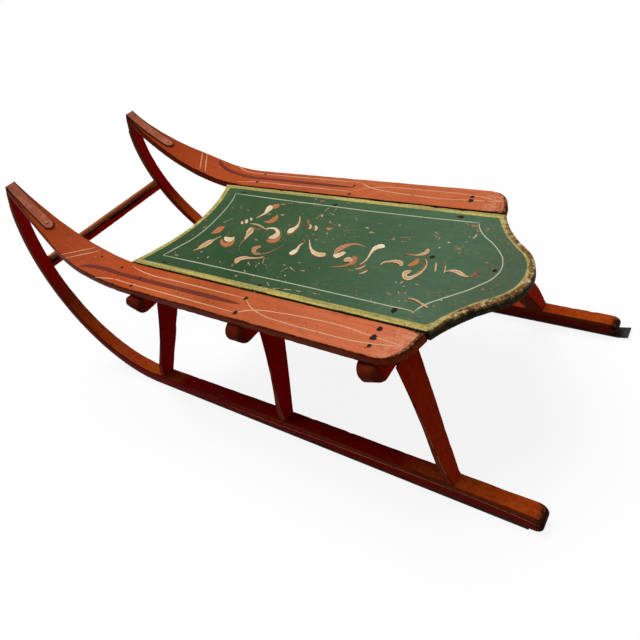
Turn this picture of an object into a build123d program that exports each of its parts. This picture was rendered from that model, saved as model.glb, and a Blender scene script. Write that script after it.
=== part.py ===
from build123d import *
import math
import os

# Antique child's wooden snow sled: two bent runners shod with iron, three knees, a deck and two side rails.
# Frame: X forward to the tips, Y to the left, Z up. The origin is on the ground under the middle of the box.
# Lengths in millimetres.

# Overall
sled_length = 960.0
deck_top_height = 238.0
board_thickness = 14.0
overrun = 60.0

# Deck board
deck_half_width = 119.5
deck_front_corner_x = 224.0
deck_front_hollow = 36.0
deck_rear_corner_x = -323.0
deck_lobe_reach = 78.0
deck_lobe_radius = 68.0
deck_shoulder_radius = 180.0

# Side rails
deck_to_rail_gap = 2.0
rail_width = 53.0
rail_bend_start_x = 175.0
rail_bend_radius = 312.0
rail_taper_start_x = 308.0
rail_taper_radius = 240.0
rail_tip_width = 19.5
rail_rear_x = -320.0
rail_end_skew = 12.0
rail_corner_radius = 38.0

# Runners
runner_width = 22.0
runner_height = 25.0
runner_waist_height = 18.0
runner_waist_start_x = -120.0
runner_bow_radius = 225.0
runner_bow_thickness = 12.0
runner_inner_ease_share = 0.25
runner_side_overhang = 6.5
runner_heel_x = -465.0
runner_heel_radius = 12.0

# Iron shoes and tip straps
shoe_thickness = 3.0
shoe_side_inset = 0.3
strap_thickness = 2.0
strap_seat_clearance = 0.2
shoe_left_rear_x = -446.0
shoe_tail_rise = 4.0
strap_width = 18.0
strap_length = 68.0
strap_clip = 5.5
strap_down_length = 42.0

# Knees: a round-ended bolster and two legs in one raked plane
knee_thickness = 28.0
knee_rake_deg = 20.0
knee_spacing = 211.0
middle_knee_x = -53.0
bolster_overhang = 9.5
bolster_depth = 32.0
leg_foot_outer_inset = 1.0
leg_top_outer_inset = 33.0
leg_top_width = 51.0
leg_outer_hollow = 1.0
leg_ankle_height_share = 0.15
leg_outer_edge_top = 0.8
leg_outer_edge_foot = 13.2
leg_outer_edge_mid_share = 0.25
leg_inner_edge_ease = 1.0

# Front rung
rung_height_z = 206.0
rung_section_height = 22.0
rung_section_thickness = 12.0
rung_round = 5.0

board_underside = deck_top_height - board_thickness
runner_top_z = shoe_thickness + runner_height
rail_inner_y = deck_half_width + deck_to_rail_gap
rail_outer_y = rail_inner_y + rail_width
runner_outer_y = rail_outer_y + runner_side_overhang
runner_tip_outer_y = rail_inner_y + rail_tip_width
bolster_reach = rail_outer_y + bolster_overhang
leg_top_outer_y = bolster_reach - leg_top_outer_inset
leg_top_inner_y = leg_top_outer_y - leg_top_width
bow_outer_radius = runner_bow_radius + shoe_thickness
strap_under_radius = runner_bow_radius + strap_seat_clearance
strap_outer_radius = strap_under_radius + strap_thickness
strap_on_rail_radius = rail_bend_radius - strap_seat_clearance
bow_centre_x = sled_length / 2 - bow_outer_radius
bow_centre_z = bow_outer_radius
rail_bend_z = deck_top_height + rail_bend_radius
rail_under_radius = rail_bend_radius + board_thickness


def circle_meeting(center_a, radius_a, center_b, radius_b):
    """The forward, lower meeting point of two circles in the side view."""
    dx = center_b[0] - center_a[0]
    dz = center_b[1] - center_a[1]
    apart = math.hypot(dx, dz)
    along = (radius_a**2 - radius_b**2 + apart**2) / (2 * apart)
    aside = math.sqrt(radius_a**2 - along**2)
    mid_x = center_a[0] + along * dx / apart
    mid_z = center_a[1] + along * dz / apart
    return mid_x + aside * dz / apart, mid_z - aside * dx / apart


bow_centre = (bow_centre_x, bow_centre_z)
rail_bend_centre = (rail_bend_start_x, rail_bend_z)
tip_x, tip_z = circle_meeting(bow_centre, runner_bow_radius, rail_bend_centre, rail_bend_radius)


def side_disc(centre, radius, half_width):
    """A disc standing in the side view, wide enough to span one side of the sled."""
    axis = Plane(origin=(centre[0], 0, centre[1]), x_dir=(1, 0, 0), z_dir=(0, 1, 0))
    return axis * Cylinder(radius, 2 * half_width)


def side_box(x0, x1, z0, z1, half_width):
    """A block given by its reach in the side view."""
    return Pos((x0 + x1) / 2, 0, (z0 + z1) / 2) * Box(x1 - x0, 2 * half_width, z1 - z0)


def plan_prism(wire_parts, z0, z1):
    """A prism on an outline drawn in plan."""
    return Pos(0, 0, z0) * extrude(make_face(Curve() + wire_parts), z1 - z0)


span = bolster_reach + overrun
top_z = tip_z + overrun


def leaning_slab(base_outer_y, base_width, tip_outer_y, tip_width):
    """The space between a runner's two side planes, which lean in from the ground to the tip."""
    def at(z, base, tip):
        share = (z - runner_top_z) / (tip_z - runner_top_z)
        return base + (tip - base) * share
    low, high = -overrun, top_z
    outline = Polyline(
        (at(low, base_outer_y, tip_outer_y), low),
        (at(high, base_outer_y, tip_outer_y), high),
        (at(high, base_outer_y - base_width, tip_outer_y - tip_width), high),
        (at(low, base_outer_y - base_width, tip_outer_y - tip_width), low),
        close=True,
    )
    return extrude(Plane.YZ * make_face(outline), sled_length, both=True)


runner_slab = leaning_slab(runner_outer_y, runner_width, runner_tip_outer_y, rail_tip_width)
shoe_width = runner_width - 2 * shoe_side_inset
tip_inset = (rail_tip_width - strap_width) / 2
shoe_slab = leaning_slab(
    runner_outer_y - shoe_side_inset, shoe_width, runner_tip_outer_y - tip_inset, strap_width
)


# Runner: a level sled foot that thins into a round bow up to the rail's tip
def make_runner():
    waist_z = shoe_thickness + runner_waist_height
    eased = (runner_waist_height - runner_bow_thickness) * runner_inner_ease_share
    inner_radius = runner_bow_radius - runner_bow_thickness - eased
    inner_shift = runner_bow_radius - runner_bow_thickness - inner_radius
    inner_centre = (bow_centre_x + inner_shift, waist_z + inner_radius)
    bend_top_z = inner_centre[1] - math.sqrt(inner_radius**2 - inner_shift**2)
    foot = Polyline(
        (runner_heel_x, shoe_thickness),
        (runner_heel_x, runner_top_z),
        (runner_waist_start_x, runner_top_z),
        (bow_centre_x, bend_top_z),
        (bow_centre_x, shoe_thickness),
        close=True,
    )
    foot_solid = extrude(Plane.XZ * make_face(foot), span, both=True)
    heel_edges = foot_solid.edges().filter_by(Axis.Y).sort_by(Axis.X)[:2]
    foot_solid = fillet(heel_edges, runner_heel_radius)
    bow = side_disc(bow_centre, runner_bow_radius, span)
    bow -= side_disc(inner_centre, inner_radius, span)
    bow -= side_box(-sled_length, bow_centre_x, -overrun, top_z + sled_length, span + overrun)
    bow -= side_disc(rail_bend_centre, rail_under_radius, span + overrun)
    bow -= side_box(-sled_length, sled_length, rail_bend_z, top_z + sled_length, span + overrun)
    whole = (foot_solid + bow) & runner_slab
    return whole.solids().sort_by(SortBy.VOLUME)[-1]


# Iron shoe: a flat strip under the runner and up the front of its bow
def make_shoe(rear_x, tail_rise):
    band = side_disc(bow_centre, bow_outer_radius, span) - side_disc(bow_centre, runner_bow_radius, span)
    band -= side_box(-sled_length, bow_centre_x, -overrun, top_z + sled_length, span + overrun)
    band -= strap_reach_block()
    flat_rear = max(rear_x, runner_heel_x)
    strip = side_box(flat_rear, bow_centre_x, 0, shoe_thickness, span)
    whole = strip + band
    if tail_rise > 0:
        tail = Polyline(
            (flat_rear, 0),
            (rear_x, tail_rise),
            (rear_x, tail_rise + shoe_thickness),
            (flat_rear, shoe_thickness),
            close=True,
        )
        whole += extrude(Plane.XZ * make_face(tail), span, both=True)
    whole &= shoe_slab
    return whole.solids().sort_by(SortBy.VOLUME)[-1]


def strap_down_angle():
    """The angle on the bow, from level, at which the tip strap ends and the shoe begins."""
    tip_angle = math.atan2(tip_z - bow_centre_z, tip_x - bow_centre_x)
    return tip_angle - strap_down_length / bow_outer_radius


def strap_reach_block():
    """The part of the side view above the seam between shoe and tip strap."""
    angle = strap_down_angle()
    block = Pos(bow_centre_x, 0, bow_centre_z) * Rot(0, -math.degrees(angle), 0) * Pos(
        sled_length / 2, 0, sled_length / 2
    ) * Box(sled_length, 2 * (span + overrun), sled_length)
    return block


# Tip strap: lies on the rail's top, folds over the tip and runs a little way down the bow
def make_strap():
    bow_part = side_disc(bow_centre, strap_outer_radius, span)
    bow_part -= side_disc(bow_centre, strap_under_radius, span)
    bow_part &= strap_reach_block()
    bow_part -= side_disc(rail_bend_centre, strap_on_rail_radius - strap_thickness, span + overrun)
    bow_part -= side_box(-sled_length, sled_length, rail_bend_z, top_z + sled_length, span + overrun)
    bow_part -= side_box(-sled_length, bow_centre_x, -overrun, top_z + sled_length, span + overrun)
    bow_part &= shoe_slab
    rail_part = side_disc(rail_bend_centre, strap_on_rail_radius, span)
    rail_part -= side_disc(rail_bend_centre, strap_on_rail_radius - strap_thickness, span)
    rail_part &= side_disc(bow_centre, strap_outer_radius, span)
    rail_part -= side_box(-sled_length, sled_length, rail_bend_z, top_z + sled_length, span + overrun)
    tip_mid_y = runner_tip_outer_y - rail_tip_width / 2
    taper_slope = (rail_outer_y - runner_tip_outer_y) / (tip_x - rail_taper_start_x)
    rear_mid_y = tip_mid_y + taper_slope * strap_length / 2
    rear_x = tip_x - strap_length
    half = strap_width / 2
    front_x = tip_x + overrun
    slope = (rear_mid_y - tip_mid_y) / strap_length
    outline = Polyline(
        (front_x, tip_mid_y + half),
        (tip_x, tip_mid_y + half),
        (rear_x + strap_clip, rear_mid_y - slope * strap_clip + half),
        (rear_x, rear_mid_y + half - strap_clip),
        (rear_x, rear_mid_y - half + strap_clip),
        (rear_x + strap_clip, rear_mid_y - slope * strap_clip - half),
        (tip_x, tip_mid_y - half),
        (front_x, tip_mid_y - half),
        close=True,
    )
    rail_part &= extrude(make_face(outline), top_z + overrun)
    whole = rail_part + bow_part
    return whole.solids().sort_by(SortBy.VOLUME)[-1]


# Side rail: level beside the deck, then bent up and narrowed to the tip
def make_rail():
    level = side_box(rail_rear_x - overrun, rail_bend_start_x, board_underside, deck_top_height, span)
    bent = side_disc(rail_bend_centre, rail_under_radius, span)
    bent -= side_disc(rail_bend_centre, rail_bend_radius, span)
    bent -= side_box(-sled_length, rail_bend_start_x, -overrun, rail_bend_z + sled_length, span + overrun)
    bent -= side_box(-sled_length, sled_length, rail_bend_z, rail_bend_z + sled_length, span + overrun)
    bent &= side_disc(bow_centre, runner_bow_radius, span)
    outline = Polyline(
        (tip_x + overrun, rail_inner_y),
        (tip_x + overrun, runner_tip_outer_y),
        (tip_x, runner_tip_outer_y),
        (rail_taper_start_x, rail_outer_y),
        (rail_rear_x + rail_end_skew, rail_outer_y),
        (rail_rear_x, rail_inner_y),
        close=True,
    )
    plan = extrude(make_face(outline), top_z + overrun)
    corner = plan.edges().filter_by(Axis.Z).sort_by_distance((rail_rear_x + rail_end_skew, rail_outer_y, 0))
    plan = fillet(corner[:1], rail_corner_radius)
    shoulder = plan.edges().filter_by(Axis.Z).sort_by_distance((rail_taper_start_x, rail_outer_y, 0))
    plan = fillet(shoulder[:1], rail_taper_radius)
    whole = (level + bent) & plan
    return whole.solids().sort_by(SortBy.VOLUME)[-1]


# Deck: one wide board, hollowed at the front and drawn out to a round lobe at the rear
def make_deck():
    lobe_x = deck_rear_corner_x - deck_lobe_reach
    lobe_centre = (lobe_x + deck_lobe_radius, 0)
    corner = (deck_rear_corner_x, deck_half_width)
    apart = math.dist(lobe_centre, corner)
    near = deck_shoulder_radius
    far = deck_shoulder_radius + deck_lobe_radius
    bearing = math.atan2(corner[1] - lobe_centre[1], corner[0] - lobe_centre[0])
    swing = math.acos((far**2 + apart**2 - near**2) / (2 * far * apart))
    angle = bearing + swing
    joint = (lobe_centre[0] + deck_lobe_radius * math.cos(angle), deck_lobe_radius * math.sin(angle))
    shoulder_centre = (lobe_centre[0] + far * math.cos(angle), far * math.sin(angle))
    start = math.atan2(corner[1] - shoulder_centre[1], corner[0] - shoulder_centre[0])
    end = angle + math.pi
    middle = (start % (2 * math.pi) + end % (2 * math.pi)) / 2
    shoulder_mid = (
        shoulder_centre[0] + near * math.cos(middle),
        shoulder_centre[1] + near * math.sin(middle),
    )
    front_mid = (deck_front_corner_x - deck_front_hollow, 0)
    outline = [
        ThreePointArc(
            (deck_front_corner_x, deck_half_width), front_mid, (deck_front_corner_x, -deck_half_width)
        ),
        Line((deck_front_corner_x, -deck_half_width), (corner[0], -corner[1])),
        ThreePointArc((corner[0], -corner[1]), (shoulder_mid[0], -shoulder_mid[1]), (joint[0], -joint[1])),
        ThreePointArc((joint[0], -joint[1]), (lobe_x, 0), joint),
        ThreePointArc(joint, shoulder_mid, corner),
        Line(corner, (deck_front_corner_x, deck_half_width)),
    ]
    return plan_prism(outline, board_underside, deck_top_height)


# Knees: built upright under the boards, then raked about their top edge
def knee_place(station_x, rake_deg):
    return Pos(station_x, 0, board_underside) * Rot(0, rake_deg, 0)


def make_bolster(station_x, rake_deg):
    radius = bolster_depth / 2
    centre_y = bolster_reach - radius
    above = knee_thickness / 2
    board = Pos(0, 0, (above - bolster_depth) / 2) * Box(
        knee_thickness, 2 * centre_y, bolster_depth + above
    )
    for side in (1, -1):
        board += Pos(0, side * centre_y, -radius) * Rot(0, 90, 0) * Cylinder(radius, knee_thickness)
    placed = knee_place(station_x, rake_deg) * board
    placed -= side_box(-sled_length, sled_length, board_underside, top_z, span)
    return placed


def leg_front_cutter(foot_outer_y, foot_depth):
    """The space in front of a leg. The leg's front slopes back from the inner edge to a thin outer edge,
    which widens along a curve towards the foot."""
    slope = (knee_thickness - leg_inner_edge_ease - leg_outer_edge_top) / leg_top_width
    mid_edge = leg_outer_edge_top + (leg_outer_edge_foot - leg_outer_edge_top) * leg_outer_edge_mid_share
    mid_y = (leg_top_outer_y + foot_outer_y) / 2 - leg_outer_hollow

    def front(edge, outer_y):
        return edge - knee_thickness / 2 + slope * (outer_y - leg_top_outer_y)

    top = (front(leg_outer_edge_top, leg_top_outer_y), -bolster_depth)
    middle = (front(mid_edge, mid_y), -(bolster_depth + foot_depth) / 2)
    foot = (front(leg_outer_edge_foot, foot_outer_y), -foot_depth)
    clear_x = knee_thickness + overrun
    outline = [
        ThreePointArc(top, middle, foot),
        Line(foot, (foot[0], -foot_depth - overrun)),
        Line((foot[0], -foot_depth - overrun), (clear_x, -foot_depth - overrun)),
        Line((clear_x, -foot_depth - overrun), (clear_x, overrun)),
        Line((clear_x, overrun), (top[0], overrun)),
        Line((top[0], overrun), top),
    ]
    profile = Plane.XZ.offset(-leg_top_outer_y) * make_face(Curve() + outline)
    return extrude(profile, span, dir=(slope, -1, 0), both=True)


def make_leg(station_x, rake_deg, runner):
    cosine = math.cos(math.radians(rake_deg))
    foot_depth = (board_underside - runner_top_z) / cosine
    foot_outer_y = runner_outer_y - leg_foot_outer_inset
    foot_inner_y = runner_outer_y - runner_width
    sink = runner_waist_height / 2
    slope = (foot_inner_y - leg_top_inner_y) / (foot_depth - bolster_depth)
    ankle_depth = foot_depth - (foot_depth - bolster_depth) * leg_ankle_height_share
    mid_y = (leg_top_outer_y + foot_outer_y) / 2 - leg_outer_hollow
    mid_depth = (bolster_depth + ankle_depth) / 2
    outline = [
        Line((leg_top_inner_y, -bolster_depth), (leg_top_outer_y, -bolster_depth)),
        ThreePointArc((leg_top_outer_y, -bolster_depth), (mid_y, -mid_depth), (foot_outer_y, -ankle_depth)),
        Line((foot_outer_y, -ankle_depth), (foot_outer_y, -foot_depth - sink)),
        Line((foot_outer_y, -foot_depth - sink), (foot_inner_y + slope * sink, -foot_depth - sink)),
        Line((foot_inner_y + slope * sink, -foot_depth - sink), (leg_top_inner_y, -bolster_depth)),
    ]
    blank = extrude(Plane.YZ * make_face(Curve() + outline), knee_thickness / 2, both=True)
    blank -= leg_front_cutter(foot_outer_y, foot_depth)
    placed = knee_place(station_x, rake_deg) * blank - runner
    return placed.solids().sort_by(SortBy.VOLUME)[-1]


# Front rung: a flattened bar between the bows, its ends flush on the runners' inner faces
def between_runners():
    """The space between the two runners' leaning inner planes."""
    low_y = runner_outer_y - runner_width
    high_y = runner_tip_outer_y - rail_tip_width
    outline = Polyline(
        (low_y, runner_top_z), (high_y, tip_z), (-high_y, tip_z), (-low_y, runner_top_z), close=True
    )
    return extrude(Plane.YZ * make_face(outline), sled_length, both=True)


def make_rung():
    angle = math.asin((rung_height_z - bow_centre_z) / runner_bow_radius)
    radius = runner_bow_radius - runner_bow_thickness / 2
    centre_x = bow_centre_x + radius * math.cos(angle)
    section = RectangleRounded(rung_section_height, rung_section_thickness, rung_round)
    place = Plane(
        origin=(centre_x, 0, rung_height_z),
        x_dir=(-math.sin(angle), 0, math.cos(angle)),
        z_dir=(0, 1, 0),
    )
    bar = extrude(place * section, runner_outer_y, both=True)
    return bar & between_runners()


def other_side(shape):
    return mirror(shape, Plane.XZ)


os.makedirs("parts", exist_ok=True)

runner_left = make_runner()
runner_right = other_side(runner_left)
rail_left = make_rail()
strap_left = make_strap()

pieces = {
    "deck": make_deck(),
    "runner_left": runner_left,
    "runner_right": runner_right,
    "rail_left": rail_left,
    "rail_right": other_side(rail_left),
    "strap_left": strap_left,
    "strap_right": other_side(strap_left),
    "shoe_left": make_shoe(shoe_left_rear_x, 0),
    "shoe_right": other_side(make_shoe(-sled_length / 2, shoe_tail_rise)),
    "front_rung": make_rung(),
}

# place along the sled, in spacings from the middle knee, rake as a share of the full rake
knee_table = [
    {"name": "front", "step": 1, "rake_share": -1.05},
    {"name": "middle", "step": 0, "rake_share": 0},
    {"name": "rear", "step": -1, "rake_share": 1},
]
for knee in knee_table:
    station_x = middle_knee_x + knee["step"] * knee_spacing
    rake_deg = knee["rake_share"] * knee_rake_deg
    pieces["bolster_" + knee["name"]] = make_bolster(station_x, rake_deg)
    leg = make_leg(station_x, rake_deg, runner_left)
    pieces["leg_" + knee["name"] + "_left"] = leg
    pieces["leg_" + knee["name"] + "_right"] = other_side(leg)

for name, shape in pieces.items():
    export_step(shape, "parts/" + name + ".step")
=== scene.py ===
import math
import bpy
import numpy as np
from mathutils import Matrix


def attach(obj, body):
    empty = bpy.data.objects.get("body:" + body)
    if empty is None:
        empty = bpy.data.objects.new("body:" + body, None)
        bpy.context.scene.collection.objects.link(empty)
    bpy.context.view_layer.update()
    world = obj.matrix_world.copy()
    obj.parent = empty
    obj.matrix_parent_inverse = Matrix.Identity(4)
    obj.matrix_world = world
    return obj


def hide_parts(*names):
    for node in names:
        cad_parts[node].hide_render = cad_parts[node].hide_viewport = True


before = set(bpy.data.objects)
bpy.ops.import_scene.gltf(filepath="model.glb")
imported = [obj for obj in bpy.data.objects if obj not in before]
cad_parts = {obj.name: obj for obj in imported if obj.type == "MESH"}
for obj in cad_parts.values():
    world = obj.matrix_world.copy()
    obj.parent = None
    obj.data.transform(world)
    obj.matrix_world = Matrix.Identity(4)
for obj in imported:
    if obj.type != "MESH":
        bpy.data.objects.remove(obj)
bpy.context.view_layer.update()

mm = 0.001

# Runners
# Two ash bars, level along the ground and steamed into a round bow at the front, where they thin
# from 25 mm to 12 mm. Both lean in a little towards the tips. Old red oil paint, rubbed at the arrises.
ground_z, runner_top_z = 3.0, 28.0
bow_centre, bow_radius = (252.0, 228.0), 225.0
bow_inside_centre, bow_inside_radius = (253.5, 232.5), 211.5
waist_start_x, heel_x, heel_round = -120.0, -465.0, 12.0
rail_bend_centre, rail_top_radius, board_thick = (175.0, 550.0), 312.0, 14.0
rail_under_radius = rail_top_radius + board_thick
runner_outer_y, runner_width = 181.0, 22.0
tip_outer_y, tip_width = 141.0, 19.5


def meeting(centre_a, radius_a, centre_b, radius_b):
    """The forward crossing of two circles in the side view: along the line of centres, then square to it."""
    dx, dz = centre_b[0] - centre_a[0], centre_b[1] - centre_a[1]
    apart = math.hypot(dx, dz)
    along = (radius_a**2 - radius_b**2 + apart**2) / (2 * apart)
    aside = math.sqrt(radius_a**2 - along**2)
    return (centre_a[0] + along * dx / apart + aside * dz / apart,
            centre_a[1] + along * dz / apart - aside * dx / apart)


tip_x, tip_z = meeting(bow_centre, bow_radius, rail_bend_centre, rail_top_radius)


def arc(centre, radius, start, end, count):
    """Points on a circle, at evenly stepped angles."""
    angle = np.linspace(start, end, count)
    return np.stack([centre[0] + radius * np.cos(angle), centre[1] + radius * np.sin(angle)], 1)


def bearing(centre, point):
    return math.atan2(point[1] - centre[1], point[0] - centre[0])


def unevenness(points, size, seed):
    """Smooth handwork unevenness, mostly within -1 and 1: a sum of sine waves that run in drawn
    directions, with about one bump to each size."""
    waves = 12
    draw = np.random.default_rng(seed)
    way = draw.normal(size=(waves, 3))
    way *= (2 * np.pi / size * draw.uniform(0.6, 1.7, waves) / np.linalg.norm(way, axis=1))[:, None]
    return np.sin(points @ way.T + draw.uniform(0, 2 * np.pi, waves)).sum(-1) / math.sqrt(waves)


def edge_steps(length, gap):
    """Places across a length: a few close to each end, where the arris turns, and even ones between."""
    near, near_share = np.array([0.0, 0.25, 0.7, 1.4, 2.4, 4.0, 7.0, 11.0]), 0.3
    near = near[near < near_share * length]
    count = max(2, int((length - 2 * near[-1]) / gap) + 2)
    middle = np.linspace(near[-1], length - near[-1], count)[1:-1]
    return np.concatenate([near, middle, length - near[::-1]])


def outward(sheet, away):
    """Unit normals of a sheet of points: the cross product of its two gradients, turned to point away."""
    normal = np.cross(np.gradient(sheet, axis=0), np.gradient(sheet, axis=1))
    normal /= np.maximum(np.linalg.norm(normal, axis=2, keepdims=True), 1e-12)
    return normal * np.sign((normal * away).sum())


def rim_order(rows, columns):
    """Indices round the rim of a grid, one after the other."""
    grid = np.arange(rows * columns).reshape(rows, columns)
    return np.concatenate([grid[0, :-1], grid[:-1, -1], grid[-1, :0:-1], grid[:0:-1, 0]])


def rim_distance(points, rim):
    """The least distance from each point to the closed line through the rim's points."""
    start, run = rim, np.roll(rim, -1, 0) - rim
    size = np.maximum((run**2).sum(1), 1e-18)
    best = np.full(len(points), 1.0)
    for a, r, s in zip(start, run, size):
        share = np.clip(((points - a) @ r) / s, 0, 1)
        best = np.minimum(best, np.linalg.norm(points - a - share[:, None] * r, axis=1))
    return best


def new_object(name, data):
    made = bpy.data.objects.new(name, data)
    bpy.context.scene.collection.objects.link(made)
    return made


def put_mesh(name, points, faces, near_edge, grain, finish, node=None):
    """A mesh from whole arrays, with its distance to an arris and its place along the grain kept for
    the paint."""
    mesh = bpy.data.meshes.new(name)
    mesh.from_pydata(points.tolist(), [], faces)
    mesh.polygons.foreach_set("use_smooth", np.ones(len(mesh.polygons), bool))
    kept = mesh.attributes.new("near_edge", "FLOAT", "POINT")
    kept.data.foreach_set("value", near_edge.astype(np.float32))
    kept = mesh.attributes.new("grain", "FLOAT_VECTOR", "POINT")
    kept.data.foreach_set("vector", grain.astype(np.float32).ravel())
    mesh.update()
    piece = new_object(name, mesh)
    piece.data.materials.append(finish)
    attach(piece, "root")
    if node:
        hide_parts(node)


# arris wear: sizes of lumps and nicks in metres, how deep nicks go, and limits as shares of the arris
lump_size, nick_size, nick_deep = 0.05, 0.013, 2.4
least_round, most_round, share_of_thick = 0.35, 3.2, 0.46
# two rows of points down the side wall, which count as this near to an arris at most, in metres
wall_shares, wall_near, grain_shift = (0.33, 0.67), 0.004, 0.37


def worn_slab(name, face, back, arris, wear, seed, finish, node):
    """A board between two sheets of points, given in millimetres as rows along the grain and columns
    across it. Each sheet falls away near its rim by arris minus the root of arris squared minus the
    square of what is left of arris, a quarter round, and arris itself swells and shrinks with wear."""
    face, back = face * mm, back * mm
    rows, columns = face.shape[:2]
    through = face - back
    order = rim_order(rows, columns)
    thick = np.linalg.norm(through, axis=2)
    along = np.linalg.norm(np.diff(face[:, columns // 2], axis=0), axis=1).cumsum()
    across = np.linalg.norm(np.diff(face[rows // 2], axis=0), axis=1).cumsum()
    place = np.zeros(face.shape)
    place[:, :, 0] = np.concatenate([[0], along])[:, None]
    place[:, :, 1] = np.concatenate([[0], across])[None]
    place[:, :, 2] = seed * grain_shift
    sheets, edges, grains = [], [], []
    for side, sheet, step in ((1, face, 0.0), (-1, back, 1.0)):
        away = outward(sheet, through * side)
        flat = sheet.reshape(-1, 3)
        rim = flat[order]
        gap = rim_distance(flat, rim).reshape(rows, columns)
        nicks = np.maximum(unevenness(flat, nick_size, seed + 5 + side) - 0.5, 0)
        lumps = unevenness(flat, lump_size, seed + side)
        round_to = arris * mm * (1 + wear * lumps + nick_deep * wear * nicks)
        round_to = np.clip(round_to.reshape(rows, columns), least_round * arris * mm, most_round * arris * mm)
        round_to = np.minimum(round_to, share_of_thick * np.maximum(thick, 1e-5))
        left = np.clip(round_to - gap, 0, None)
        fall = round_to - np.sqrt(np.maximum(round_to**2 - left**2, 0))
        sheets.append((sheet - away * fall[..., None]).reshape(-1, 3))
        edges.append(gap.ravel())
        grains.append((place + np.array([0, 0, 1]) * step * thick.mean()).reshape(-1, 3))
    count = rows * columns
    grid = np.arange(count).reshape(rows, columns)
    quad = np.stack([grid[:-1, :-1], grid[1:, :-1], grid[1:, 1:], grid[:-1, 1:]], -1).reshape(-1, 4)
    faces = [quad, quad[:, ::-1] + count]
    loops = [order]
    top_rim, low_rim = sheets[0][order], sheets[1][order]
    for step, share in enumerate(wall_shares):
        sheets.append(top_rim + (low_rim - top_rim) * share)
        depth = np.linalg.norm(top_rim - low_rim, axis=1) * wall_shares[0]
        edges.append(np.minimum(depth, wall_near))
        grains.append(grains[0][order] + (grains[1][order] - grains[0][order]) * share)
        loops.append(2 * count + step * len(order) + np.arange(len(order)))
    loops.append(order + count)
    for upper, lower in zip(loops[:-1], loops[1:]):
        faces.append(np.stack([upper, np.roll(upper, -1), np.roll(lower, -1), lower], 1))
    points, faces = np.concatenate(sheets), np.concatenate(faces)
    corner = points[faces]
    volume = (corner[:, 0] * np.cross(corner[:, 1], corner[:, 2])).sum() + (
        corner[:, 0] * np.cross(corner[:, 2], corner[:, 3])).sum()
    if volume < 0:
        faces = faces[:, ::-1]
    put_mesh(name, points, faces.tolist(), np.concatenate(edges), np.concatenate(grains), finish, node)


class Paint:
    """One socket of a paint recipe, so that a recipe reads as a sum of its layers."""

    def __init__(self, tree, out):
        self.tree, self.out = tree, out

    def to(self, kind, settings, values, output=0):
        """Adds a node of that type, sets it, gives its sockets values or paints, and returns one output."""
        node = self.tree.nodes.new("ShaderNode" + kind)
        for key, value in settings.items():
            if key == "stops":
                ramp = node.color_ramp.elements
                while len(ramp) < len(value):
                    ramp.new(0.5)
                for stop, (place, colour) in zip(ramp, value):
                    stop.position, stop.color = place, (*colour, 1)
            else:
                setattr(node, key, value)
        for key, value in values.items():
            if isinstance(value, Paint):
                self.tree.links.new(value.out, node.inputs[key])
            elif value is not None:
                node.inputs[key].default_value = (*value, 1) if (
                    isinstance(value, tuple) and node.inputs[key].type == "RGBA") else value
        return Paint(self.tree, node.outputs[output])

    def maths(self, operation, first, second):
        return self.to("Math", {"operation": operation}, {0: first, 1: second})

    def __add__(self, other):
        return self.maths("ADD", self, other)

    def __sub__(self, other):
        return self.maths("SUBTRACT", self, other)

    def __rsub__(self, other):
        return self.maths("SUBTRACT", other, self)

    def size(self):
        return self.maths("ABSOLUTE", self, 0.0)

    def __mul__(self, other):
        return self.maths("MULTIPLY", self, other)

    __radd__, __rmul__ = __add__, __mul__

    def __or__(self, other):
        return self.maths("MAXIMUM", self, other)

    def rise(self, low, high):
        """0 below low, 1 above high, and a smooth step between; low above high turns it round."""
        return self.to("MapRange", {"interpolation_type": "SMOOTHSTEP"}, {0: self, 1: low, 2: high})

    def part(self, name):
        return self.to("SeparateXYZ", {}, {0: self}, "XYZ".index(name))

    def stretch(self, x, y, z):
        return self.to("Mapping", {}, {"Vector": self, "Scale": (x, y, z)})

    def mottle(self, scale, detail=3.0, rough=0.55):
        """Blender's noise, 0 to 1, with this many lumps to the metre."""
        return self.to("TexNoise", {}, {"Vector": self, "Scale": scale, "Detail": detail, "Roughness": rough})

    def cover(self, share, colour):
        """This colour, with another laid over it where share is 1."""
        return self.to("Mix", {"data_type": "RGBA"}, {0: share, 6: self, 7: colour}, 2)

    def covers(self, *layers):
        """This colour under its layers, each a share and a colour, from the lowest to the top one."""
        colour = self
        for share, tone in layers:
            colour = colour.cover(share, tone)
        return colour

    def between(self, low, high):
        """The first colour where this paint is 0, the second where it is 1."""
        return self.to("Mix", {"data_type": "RGBA"}, {0: self, 6: low, 7: high}, 2)

    def ramp(self, *stops):
        return self.to("ValToRGB", {"stops": stops}, {0: self})


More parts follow.
